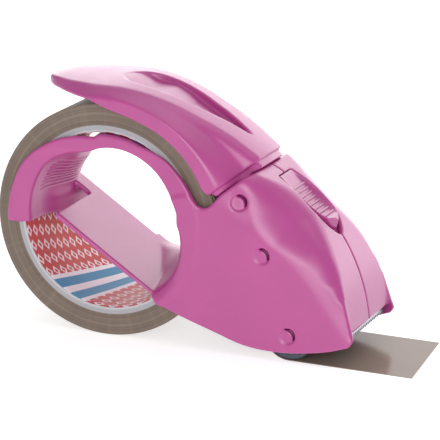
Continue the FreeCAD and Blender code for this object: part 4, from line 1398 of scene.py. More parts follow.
    def finger_ribs(self) -> None:
        """Ridges for the fingertips along the hub's rear wall."""
        paths = []
        for index in range(self.rib_count):
            angle = self.rib_start + self.rib_pitch * index
            turn = math.radians(angle)
            path = []
            for depth, sink in zip(self.rib_depths, self.rib_sinks):
                radius = float(self.rear_wall(depth, angle)) + sink
                path.append(placed(radius * math.cos(turn), depth, radius * math.sin(turn)))
            paths.append(path)
        pattern = Pattern("finger_ribs", Layout.WIRE, self.finishes.made["pink_plastic"])
        piece = pattern.wire(paths, self.rib_radius * MM, 10)
        adopt(piece, "casing", "pink_plastic")

    def near_half(self) -> None:
        """Near casing half, one moulding with the hub."""
        mould = Mould((-47.6, -29.6, -48.0), (113.6, 23.4, 40.0), self.step)
        walls = self.walls(mould, -mould.y)
        deep = self.half(mould) + mould.y
        across, up = self.pin_shift
        for x, z in BOSSES:
            hole = np.hypot(mould.x - x, mould.z - z) - self.dimple_radius
            pin = np.hypot(mould.x - x + across, mould.z - z + up) - self.pin_radius
            dimple = np.maximum(hole, np.minimum(deep - self.dimple_floor,
                                                 np.maximum(deep - 5.0, -pin)))
            walls = less(walls, dimple, 0.25)
        hub, room = self.hub(mould)
        shell = either(walls, hub, 1.6)
        radius, _ = mould.polar()
        roll = np.maximum(within(radius, self.hub_radius + 0.02, self.roll_clear),
                          self.roll_face - mould.y)
        shell = less(shell, roll, 0.25)
        soft = (0.7 + 1.5 * ease(-mould.y, 18.0, 26.0) * ease(-mould.z, -6.0, 6.0)
                * ease(mould.x, 8.0, 20.0))
        shell = less(shell, room, soft)
        piece = mould.cast("near_casing", shell, budget=190000)
        self.finishes.dress(piece, "pink_plastic")
        adopt(piece, "casing", "pink_plastic", "near_shell")

    def far_half(self) -> None:
        """Far casing half, cut back round the roll so that it slides off."""
        mould = Mould((34.0, -0.9, -48.0), (113.6, 29.6, 33.0), self.step)
        walls = self.walls(mould, mould.y)
        radius, _ = mould.polar()
        walls = less(walls, radius - self.far_clear, 0.5)
        for x, z in BOSSES:
            sink = np.hypot(mould.x - x, mould.z - z) - self.screw_sink
            walls = less(walls, both(sink, self.screw_seat - mould.y, 0.2), 0.3)
        piece = mould.cast("far_casing", walls, budget=120000)
        self.finishes.dress(piece, "pink_plastic")
        adopt(piece, "casing", "pink_plastic", "far_shell")

    def build(self) -> None:
        """Makes both halves and the ribs."""
        self.near_half()
        self.finger_ribs()
        self.far_half()


@dataclass(frozen=True)
class Boat:
    """Plan of the thumb slot, measured along the nose from its upper corner."""

    start: float = 6.9
    end: float = 42.3

    def half_width(self, along: Grid) -> Grid:
        """Half of the slot's width at a length along the nose."""
        return through(
            along,
            [6.6, 12.0, 18.0, 22.0, 26.0, 29.0, 32.4, 35.0, 37.3, 39.0, 40.6, 41.8, 42.6],
            [6.9, 7.8, 8.5, 8.9, 9.0, 8.8, 8.2, 7.4, 6.2, 4.9, 3.3, 1.7, 0.2])


BOAT = Boat()


# The palm lever


@dataclass
class PalmLever:
    """Hollow lever over the roll, with skirts, a teardrop recess and a neck."""

    finishes: Finishes
    casing: Casing
    wall: float = 2.2
    roll_room: float = 52.24
    shoulder: float = 52.8
    room_half: float = 26.1
    pivot: Point = BOSSES[0]
    lug_radius: float = 7.5
    lug_half: float = 12.0
    bore: float = 5.05
    end_line: float = 0.8
    collar_inset: float = 1.2
    hollow_half: float = 22.0
    recess: Point = (-3.5, 55.8)
    recess_half: float = 11.0
    recess_depth: float = 3.4
    recess_low: float = 54.9
    pad_angle: float = 62.0
    step: float = 0.5

    def recess_plan(self) -> list[Point]:
        """Teardrop seen from above: round at the palm end, pointed at the nose.

        Returns:
            Corners (x, y) of its outline.
        """
        start, end = self.recess
        marks = [(0.0, 0.0), (0.02, 0.36), (0.07, 0.66), (0.15, 0.91), (0.27, 1.0), (0.4, 0.94),
                 (0.55, 0.77), (0.72, 0.52), (0.88, 0.24), (1.0, 0.0)]
        side = smooth_path([(start + (end - start) * along, self.recess_half * wide)
                            for along, wide in marks], 5)
        return side + [(x, -y) for x, y in side[-2:0:-1]]

    def sections(self, mould: Mould, radius: Grid, angle: Grid) -> tuple[Grid, Grid, Grid]:
        """Shape across the lever at every angle about the roll.

        Args:
            mould: Block of the lever.
            radius: Distance from the roll's axis.
            angle: Angle about it.

        Returns:
            Radius of the top, radius of the lower edge and half width.
        """
        top = through(
            angle,
            [20.0, 26.3, 33.0, 40.1, 47.0, 54.8, 70.0, 86.0, 98.8, 109.1, 117.4, 121.8, 124.5,
             126.0],
            [75.6, 71.4, 67.6, 64.5, 62.0, 59.9, 58.1, 57.9, 58.5, 61.0, 64.1, 65.5, 65.9, 65.9])
        low = through(
            angle,
            [18.0, 20.5, 22.5, 26.0, 37.1, 54.7, 72.3, 88.3, 99.3, 110.3, 118.6, 122.7, 124.9],
            [51.6, 49.2, 48.0, 47.6, 47.4, 47.1, 46.9, 48.4, 51.9, 55.5, 59.6, 62.4, 64.3])
        crease = through(
            angle,
            [20.0, 26.3, 40.1, 54.8, 70.0, 86.0, 98.8, 109.1, 117.4, 121.8, 124.5, 126.0],
            [13.7, 13.9, 15.9, 18.0, 19.7, 21.0, 21.0, 18.6, 12.8, 7.6, 1.6, 0.3])
        waist = through(
            angle,
            [20.0, 26.3, 40.1, 54.8, 70.0, 86.0, 99.0, 110.0, 118.0, 122.3, 124.7, 126.0],
            [20.4, 20.5, 20.9, 22.0, 24.2, 26.0, 25.2, 20.6, 14.0, 8.3, 2.0, 0.6])
        skirt = through(
            angle,
            [20.0, 72.3, 88.3, 99.3, 110.3, 118.6, 122.7, 124.9, 126.0],
            [28.4, 28.4, 28.4, 27.0, 22.0, 14.6, 8.6, 2.3, 0.9])
        crown = np.minimum(mould.y / np.maximum(crease, 6.0), 1.5) ** 2
        foot = np.maximum(low, self.shoulder)
        depth = np.clip((top - radius) / np.maximum(top - foot, 1.0), 0.0, 1.0)
        half = (crease + (waist - crease) * np.minimum(depth / 0.72, 1.0)
                + (skirt - waist) * ease(depth, 0.36, 1.0))
        return top - crown * ease(angle, 126.0, 112.0), low, half

    def outside(self, mould: Mould) -> Grid:
        """Outside of the lever from its tip, drawn on past its end line.

        Args:
            mould: Block of the lever.

        Returns:
            Its field.
        """
        radius, angle = mould.polar()
        top, low, half = self.sections(mould, radius, angle)
        edge = through(angle, [30.0, 60.0, 100.0, 118.0, 124.0], [2.4, 2.0, 2.2, 1.6, 1.0])
        side = (np.abs(mould.y) - half) * 0.85
        shape = both(radius - top, side, edge)
        shape = both(shape, low - radius, 0.7)
        return both(shape, (angle - 125.2) * 1.1, 1.0)

    def body(self, mould: Mould) -> Grid:
        """Outside of the lever from its tip to its end line."""
        _, past = self.casing.neck_frame(mould)
        return both(self.outside(mould), past - self.end_line, 0.5)

    def hollow(self, mould: Mould) -> Grid:
        """Room inside the lever above the roll.

        Args:
            mould: Block of the lever.

        Returns:
            Its field.
        """
        radius, angle = mould.polar()
        top, _, half = self.sections(mould, radius, angle)
        _, past = self.casing.neck_frame(mould)
        floor = self.recess_floor(mould)
        pan = np.maximum(mould.outline(self.recess_plan(), flat=True) - 1.6, radius - 99.0)
        roof = np.where(pan < 0.0, np.minimum(top - self.wall, floor - 1.2), top - self.wall)
        room = both(radius - roof, np.abs(mould.y) - np.minimum(half, self.hollow_half)
                    + self.wall, 1.2)
        room = both(room, angle - 117.0, 1.5)
        return both(room, past + self.wall, 0.5)

    def recess_floor(self, mould: Mould) -> Grid:
        """Floor of the recess: a long ramp at the palm, a short one at the nose.

        Args:
            mould: Block of the lever.

        Returns:
            Its radius.
        """
        radius, angle = mould.polar()
        top, _, _ = self.sections(mould, radius, angle)
        start, end = self.recess
        ramp = np.minimum(ease(mould.x, start - 1.0, start + 17.0),
                          ease(mould.x, end + 1.0, end - 9.0))
        floor = top - self.recess_depth * ramp
        pad = ease(np.abs(angle - self.pad_angle), 17.0, 9.0)
        return np.maximum(floor, self.recess_low + 0.9 * pad)

    def neck(self, mould: Mould) -> Grid:
        """Neck that reaches between the casing's side walls: a tongue and a collar.

        Args:
            mould: Block of the lever.

        Returns:
            Its field.
        """
        along, past = self.casing.neck_frame(mould)
        wide = through(along, [0.0, 3.0, 6.1, 11.0], [22.6, 22.6, 20.8, 16.8])
        tongue = both((np.abs(mould.y) - wide) * 0.85, along - 11.6, 1.6)
        tongue = both(tongue, -along, 0.8)
        tongue = both(tongue, np.maximum(past - 5.1, -self.wall - past), 0.6)
        high = ease(along, 10.0, 16.0)
        collar = self.outside(mould) + self.collar_inset * (1.0 + 0.9 * high)
        collar = both(collar, np.maximum(past - 3.25 - 0.8 * high, -1.2 - past), 0.3)
        chamfer = np.maximum(-(along + 6.4), (past - 6.6 - 1.1 * along) * 0.67)
        return np.minimum(tongue, both(collar, chamfer, 0.5))

    def build(self) -> None:
        """Makes the lever."""
        mould = Mould((-39.5, -29.6, 7.0), (68.4, 29.6, 59.5), self.step)
        radius, angle = mould.polar()
        shape = less(self.body(mould), self.hollow(mould), 0.3)
        shape = either(shape, self.neck(mould), 0.5)
        away, side = np.abs(angle - self.pad_angle), np.abs(mould.y)
        holder = np.maximum(within(radius, 53.3, 58.0), np.maximum(away - 9.2, side - 19.0))
        shape = np.minimum(shape, np.maximum(holder, self.body(mould) + 1.0))
        lug = np.hypot(mould.x - self.pivot[0], mould.z - self.pivot[1])
        shape = np.minimum(shape, both(lug - self.lug_radius, side - self.lug_half))
        shape = less(shape, lug - self.bore, 0.3)
        roll = np.maximum(radius - self.roll_room, np.minimum(side - self.room_half, -mould.y))
        shape = less(shape, roll, 0.3)
        pad = np.maximum(within(radius, 50.0, 54.15), np.maximum(away - 8.1, side - 18.1))
        shape = np.maximum(shape, -pad)
        recess = both(mould.outline(self.recess_plan(), flat=True),
                      self.recess_floor(mould) - radius, 0.5)
        shape = less(shape, recess, 0.45)
        piece = mould.cast("palm_lever", shape, budget=190000)
        self.finishes.dress(piece, "pink_plastic")
        adopt(piece, "lever", "pink_plastic", "brake_lever")


# The thumb button


@dataclass
class ThumbButton:
    """Button in the boat-shaped slot: hollow for the thumb, ribbed, raised at its bow."""

    finishes: Finishes
    casing: Casing
    travel: float = 3.2
    gap: float = 0.4
    low_radius: float = 73.9
    floor_radius: float = 74.9
    floor_half: float = 6.0
    rib_count: int = 8
    rib_start: float = 15.2
    rib_pitch: float = 2.45
    rib_radius: float = 0.5
    rib_lift: float = 0.3
    rib_inset: float = 0.9
    step: float = 0.25

    def half_width(self, along: Grid) -> Grid:
        """Half width that clears the slot at rest and when pushed."""
        return np.minimum(BOAT.half_width(along), BOAT.half_width(along + self.travel)) - self.gap

    def middle(self, along: Grid) -> Grid:
        """Height of the middle line over the nose."""
        return through(
            along,
            [7.0, 9.0, 12.0, 18.0, 24.0, 29.0, 32.0, 33.6, 35.2, 36.2],
            [-0.1, -0.3, -1.1, -2.1, -2.3, -1.5, -0.4, 0.9, 2.1, 2.2])

    def rim(self, along: Grid) -> Grid:
        """Height of the button's edges over the nose."""
        return through(along, [7.0, 12.0, 20.0, 30.0, 35.5], [-0.1, 0.0, 0.3, 1.1, 1.9])

    def block(self) -> None:
        """Button without its ribs."""
        mould = Mould((65.0, -9.6, -6.0), (97.6, 9.6, 26.6), self.step)
        radius, angle = mould.polar(*self.casing.nose)
        along = self.casing.along_nose(angle)
        wide = self.half_width(along)
        share = np.minimum(np.abs(mould.y) / np.maximum(wide, 1.0), 1.0)
        rise = self.middle(along) + (self.rim(along) - self.middle(along)) * share ** 9
        bow = 2.3 - 1.25 * (along - 35.2 + 0.62 * np.abs(mould.y) - 1.6)
        top = radius - self.casing.nose_radius
        shape = both(np.maximum(top - rise, 0.62 * (top - bow)), np.abs(mould.y) - wide, 0.35)
        shape = np.maximum(shape, both(BOAT.start + self.gap - along, self.low_radius - radius))
        sole = both(radius - self.floor_radius, np.abs(mould.y) - self.floor_half, 0.3)
        sole = np.maximum(sole, np.maximum(self.low_radius - radius,
                                           within(along, 33.0, 45.4)))
        piece = mould.cast("thumb_button_block", np.minimum(shape, sole), budget=60000)
        self.finishes.dress(piece, "pink_plastic")
        adopt(piece, "cutter", "pink_plastic", "thumb_button")

    def ribs(self) -> None:
        """Light cross ribs in the button's hollow."""
        places, turns, sizes = [], [], []
        for index in range(self.rib_count):
            along = self.rib_start + index * self.rib_pitch
            radius = self.casing.nose_radius + float(self.middle(along)) + self.rib_lift
            turn = math.radians(self.casing.corner_angle) - along / self.casing.nose_radius
            places.append(placed(self.casing.nose[0] + radius * math.cos(turn), 0.0,
                                 self.casing.nose[1] + radius * math.sin(turn)))
            turns.append((0.0, -turn, 0.0))
            sizes.append((1.0, float(self.half_width(along)) - self.rib_inset, 1.0))
        bar = turned("button_rib_bar", [(0.0, -1.0), (self.rib_radius * 0.8, -1.0),
                                        (self.rib_radius, -0.96), (self.rib_radius, 0.96),
                                        (self.rib_radius * 0.8, 1.0), (0.0, 1.0)], 16)
        pattern = Pattern("button_ribs", Layout.PLACES, self.finishes.made["pink_plastic"])
        adopt(pattern.copies(bar, places, turns, sizes), "cutter", "pink_plastic")

    def build(self) -> None:
        """Makes the button."""
        self.block()
        self.ribs()


# The free film and the roller


@dataclass
class FreeFilm:
    """Film off the roll, round the roller and out along the floor, cut askew."""

    finishes: Finishes
    roller: Point = BOSSES[2]
    roll_radius: float = 50.45
    roller_radius: float = 11.25
    wall: float = 0.3
    half_width: float = 25.0
    end: float = 137.0
    skew: float = 4.0
    drop_steps: int = 8
    bend_steps: int = 24
    flat_steps: int = 16

    def path(self) -> list[Spot]:
        """Middle of the film from the roll to its free end.

        Returns:
            Rows of x, z and the way that its upper face looks, in degrees.
        """
        heading = math.degrees(math.atan2(self.roller[1], self.roller[0]))
        reach = math.hypot(*self.roller)
        leave = heading + math.degrees(
            math.acos((self.roll_radius + self.roller_radius) / reach))
        start = arc_path(self.roll_radius, leave, leave + 1.0, steps=1)[0]
        bend = arc_path(self.roller_radius, leave + 180.0, 270.0, *self.roller,
                        steps=self.bend_steps)
        rows = []
        for step in range(self.drop_steps):
            share = step / self.drop_steps
            rows.append((start[0] + (bend[0][0] - start[0]) * share,
                         start[1] + (bend[0][1] - start[1]) * share, leave))
        for index, (x, z) in enumerate(bend):
            rows.append((x, z, leave + (90.0 - leave) * index / self.bend_steps))
        x, z = bend[-1]
        for step in range(1, self.flat_steps + 1):
            rows.append((x + (self.end - x) * step / self.flat_steps, z, 90.0))
        return rows

    def build(self) -> None:
        """Makes the film as one closed sheet."""
        columns = np.linspace(-self.half_width, self.half_width, 13)
        corners: list[Vector] = []
        rows = self.path()
        flat = self.roller[0]
        for face in (1.0, -1.0):
            for x, z, look in rows:
                dx = math.cos(math.radians(look)) * self.wall / 2.0 * face
                dz = math.sin(math.radians(look)) * self.wall / 2.0 * face
                for y in columns:
                    pull = (max(0.0, x - flat) / (self.end - flat) * self.skew
                            * (y + self.half_width) / (2.0 * self.half_width))
                    corners.append(placed(x + dx - pull, float(y), z + dz))
        wide, deep = len(columns), len(rows)
        faces = []
        for i in range(deep - 1):
            for j in range(wide - 1):
                a = i * wide + j
                faces.append((a, a + wide, a + wide + 1, a + 1))
                b = a + deep * wide
                faces.append((b, b + 1, b + wide + 1, b + wide))
        under = deep * wide
        for i in range(deep - 1):
            for j in (0, wide - 1):
                a, b = i * wide + j, (i + 1) * wide + j
                side = (a, a + under, b + under, b)
                faces.append(side if j == 0 else side[::-1])
        for i in (0, deep - 1):
            for j in range(wide - 1):
                a = i * wide + j
                cap = (a, a + 1, a + 1 + under, a + under)
                faces.append(cap if i == 0 else cap[::-1])
        mesh = bpy.data.meshes.new("free_film_strip")
        mesh.from_pydata(corners, [], faces)
        mesh.shade_smooth()
        mesh.set_sharp_from_angle(angle=math.radians(40.0))
        piece = stand("free_film_strip", mesh)
        check_outward(piece)
        self.finishes.dress(piece, "tape_film")
        adopt(piece, "casing", "tape_film", "tape_film")


@dataclass
class FeedRoller:
    """Rubber tyre with fine grooves on a light wheel that turns on a steel tube."""

    finishes: Finishes
    axis: Point = BOSSES[2]
    radius: float = 10.8
    wheel_radius: float = 8.2
    bore: float = 5.1
    half_width: float = 25.0
    groove: float = 0.25
    groove_pitch: float = 2.5

    def tyre(self) -> None:
        """Tyre with grooves round it."""
        half = self.half_width
        profile = [(self.wheel_radius, half), (self.wheel_radius, -half),
                   (self.radius - 0.5, -half), (self.radius, -half + 0.5)]
        for index in range(1, int(2.0 * half / self.groove_pitch)):
            y = -half + index * self.groove_pitch
            profile += [(self.radius, y - 0.45), (self.radius - self.groove, y - 0.2),
                        (self.radius - self.groove, y + 0.2), (self.radius, y + 0.45)]
        profile += [(self.radius, half - 0.5), (self.radius - 0.5, half)]
        piece = lathe("roller_tyre_grooved", profile, *self.axis, steps=96)
        self.finishes.dress(piece, "rubber")
        adopt(piece, "roller", "rubber", "roller_tyre")

    def wheel(self) -> None:
        """Wheel with a hub, a rim and a web between them."""
        half, rim, hub = self.half_width, self.wheel_radius - 1.3, self.bore + 0.9
        profile = [(self.bore + 0.2, -half), (hub - 0.15, -half), (hub, -half + 0.2),
                   (hub + 0.2, -half + 5.8), (rim - 0.2, -half + 5.8), (rim, -half + 0.2),
                   (rim + 0.15, -half), (self.wheel_radius, -half), (self.wheel_radius, half),
                   (rim + 0.15, half), (rim, half - 0.2), (rim - 0.2, half - 5.8),
                   (hub + 0.2, half - 5.8), (hub, half - 0.2), (hub - 0.15, half),
                   (self.bore + 0.2, half), (self.bore, half - 0.2), (self.bore, -half + 0.2)]
        piece = lathe("roller_wheel_webbed", profile, *self.axis, steps=96)
        self.finishes.dress(piece, "inner_plastic")
        adopt(piece, "roller", "inner_plastic", "roller_wheel")

    def build(self) -> None:
        """Makes the tyre and its wheel."""
        self.tyre()
        self.wheel()


# The blade


@dataclass
class Cutter:
    """Toothed blade with its carrier and two rivets."""

    finishes: Finishes
    casing: Casing
    tip: Point = (108.4, -38.8)
    slope: float = 56.0
    length: float = 13.0
    thick: float = 0.8
    half_width: float = 25.0
    tooth_pitch: float = 2.0
    tooth_depth: float = 1.3
    foot: float = 2.0
    rivet_radius: float = 1.5
    rivet_play: float = 0.05
    rivet_y: float = 15.0
    rivet_share: float = 0.35
    edge_break: float = 0.12

    def spot(self, along: float, out: float) -> Point:
        """Place on the blade.

        Args:
            along: Length from the blade's root.
            out: Height over its middle.

        Returns:
            The place's x and z.
        """
        turn = math.radians(self.slope)
        back = self.length - along
        return (self.tip[0] - back * math.cos(turn) + out * math.sin(turn),
                self.tip[1] + back * math.sin(turn) + out * math.cos(turn))

    def slab(self, mould: Mould, start: float, end: float, low: float, high: float) -> Grid:
        """Block square to the blade, endless across.

        Args:
            mould: Block of the carrier.
            start: Where it starts along the blade.
            end: Where it ends.
            low: Its lower face, out of the blade's middle.
            high: Its upper face.

        Returns:
            Its field.
        """
        turn = math.radians(self.slope)
        dx, dz = mould.x - self.tip[0], mould.z - self.tip[1]
        along = dx * math.cos(turn) - dz * math.sin(turn) + self.length
        out = dx * math.sin(turn) + dz * math.cos(turn)
        return both(within(along, start, end), within(out, low, high), 0.5)

    def carrier(self) -> None:
        """Curved carrier: its foot below the blade, its stem under the button."""
        mould = Mould((66.0, -21.4, -39.0), (107.6, 21.4, 21.4), 0.4)
        radius, angle = mould.polar(*self.casing.nose)
        along = self.casing.along_nose(angle)
        half = through(along, [8.8, 30.0, 48.0, 60.0, 70.0], [11.0, 13.5, 16.5, 18.6, 19.8])
        side = np.abs(mould.y)
        band = both(within(radius, 71.5, 73.5), within(along, 8.8, 69.7), 0.4)
        groove = both(np.abs(side - 6.5) - 1.6, np.maximum(72.5 - radius, 14.0 - along), 0.3)
        strip = less(both(band, side - half, 0.8), np.maximum(groove, along - 56.0), 0.3)
        thick = self.thick / 2.0
        foot = np.minimum(self.slab(mould, -3.2, -0.1, -thick - self.foot, 2.8),
                          self.slab(mould, -1.0, self.length * 0.65, -thick - self.foot,
                                    -thick - 0.02))
        stem = np.maximum(within(radius, 71.7, 74.0), within(along, 14.0, 30.0))
        lug = np.maximum(within(radius, 61.1, 72.0), within(along, 36.6, 38.6))
        shape = either(strip, both(foot, side - 19.6, 0.6), 0.6)
        shape = either(shape, both(np.minimum(stem, lug), side - 4.0, 0.3), 0.6)
        blade = np.maximum(self.slab(mould, -0.05, self.length + 2.0, -thick, thick), side - 25.2)
        turn = math.radians(self.slope)
        x, z = self.spot(self.length * self.rivet_share, 0.0)
        away = (mould.x - x) * math.cos(turn) - (mould.z - z) * math.sin(turn)
        room = self.slab(mould, 0.5, self.length, -4.0, 1.0)
        for y in (-self.rivet_y, self.rivet_y):
            hole = np.hypot(mould.y - y, away) - (self.rivet_radius + self.rivet_play)
            shape = np.maximum(shape, -np.maximum(hole, room))
        piece = mould.cast("blade_carrier_bow", np.maximum(shape, -blade), budget=60000)
        self.finishes.dress(piece, "inner_plastic")
        adopt(piece, "cutter", "inner_plastic", "blade_carrier")

    def strip(self) -> None:
        """Blade without its teeth, its edges just broken."""
        half, root, thick = self.half_width, self.length - self.tooth_depth, self.thick / 2.0
        soft = self.edge_break
        section = [(soft, -thick), (root, -thick), (root, thick), (soft, thick),
                   (0.0, thick - soft), (0.0, -thick + soft)]
        corners = []
        for y in (-half, half):
            for along, out in section:
                x, z = self.spot(along, out)
                corners.append(placed(x, y, z))
        count = len(section)
        faces = [tuple(range(count))[::-1], tuple(range(count, 2 * count))]
        for index in range(count):
            after = (index + 1) % count
            faces.append((index, after, after + count, index + count))
        mesh = bpy.data.meshes.new("blade_strip")
        mesh.from_pydata(corners, [], faces)
        piece = stand("blade_strip", mesh)
        check_outward(piece)
        self.finishes.dress(piece, "steel")
        adopt(piece, "cutter", "steel", "blade")

    def teeth(self) -> None:
        """Row of ground teeth along the blade's lower edge."""
        turn = math.radians(self.slope)
        reach, half, thick = self.tooth_depth + 0.1, self.tooth_pitch / 2.0, self.thick / 2.0
        corners = []
        for along, wide, rise in ((0.0, half, thick), (reach, 0.14, 0.1)):
            for side, face in ((-1, -1), (1, -1), (1, 1), (-1, 1)):
                out = rise * face if along == 0.0 else -thick + rise * (1 + face)
                corners.append(Vector((along * math.cos(turn) + out * math.sin(turn),
                                       wide * side,
                                       -along * math.sin(turn) + out * math.cos(turn))) * MM)
        mesh = bpy.data.meshes.new("blade_tooth")
        mesh.from_pydata(corners, [], [(0, 1, 2, 3), (7, 6, 5, 4), (0, 4, 5, 1), (1, 5, 6, 2),
                                       (2, 6, 7, 3), (3, 7, 4, 0)])
        tooth = stand("blade_tooth", mesh)
        check_outward(tooth)
        x, z = self.spot(self.length - reach, 0.0)
        count = int(2.0 * self.half_width / self.tooth_pitch)
        pattern = Pattern("blade_teeth", Layout.ROW, self.finishes.made["steel"])
        piece = pattern.row(tooth, count, placed(x, -self.half_width + half, z),
                            Vector((0.0, self.tooth_pitch * MM, 0.0)))
        adopt(piece, "cutter", "steel")

    def rivets(self) -> None:
        """Two domed rivets through blade and carrier."""
        top, low = self.thick / 2.0, -self.thick / 2.0 - self.foot
        shank, head = self.rivet_radius, self.rivet_radius + 0.9
        rivet = turned("blade_rivet", [
            (0.0, low - 0.6), (shank + 0.25, low - 0.55), (shank + 0.55, low - 0.3),
            (shank + 0.6, low), (shank, low), (shank, top), (head, top), (head - 0.08, top + 0.2),
            (head - 0.5, top + 0.45), (head - 1.3, top + 0.6), (0.0, top + 0.6)], 40)
        x, z = self.spot(self.length * self.rivet_share, 0.0)
        turn = (math.radians(90.0), math.radians(self.slope), 0.0)
        pattern = Pattern("blade_rivets", Layout.PLACES, self.finishes.made["steel"])
        piece = pattern.copies(rivet, [placed(x, side * self.rivet_y, z) for side in (-1, 1)],
                               [turn, turn])
        piece.name = "blade_rivet_pair"
        adopt(piece, "cutter", "steel", "blade_rivets")

    def build(self) -> None:
        """Makes the carrier, the blade, its teeth and the rivets."""
        self.carrier()
        self.strip()
        self.teeth()
        self.rivets()


# Screws, washers, tubes and springs


@dataclass(frozen=True)
class Coil:
    """Round wire wound about an axis, with a straight leg at each end."""

    radius: float
    pitch: float
    turns: float
    wire: float
    leg: float
    pieces: int = 28

    def points(self) -> list[Vector]:
        """Middle of the wire about the Z axis, from leg to leg.

        Returns:
            Points in millimetres.
        """
        steps = int(self.turns * self.pieces)
        rows = []
        for index in range(steps + 1):
            angle = 2.0 * math.pi * self.turns * index / steps
            rows.append(Vector((self.radius * math.cos(angle), self.radius * math.sin(angle),
                                self.pitch * self.turns * index / steps)))
        rise = self.pitch / (2.0 * math.pi)
        first = Vector((0.0, self.radius, rise)).normalized()
        angle = 2.0 * math.pi * self.turns
        last = Vector((-self.radius * math.sin(angle), self.radius * math.cos(angle),
                       rise)).normalized()
        return [rows[0] - first * self.leg] + rows + [rows[-1] + last * self.leg]


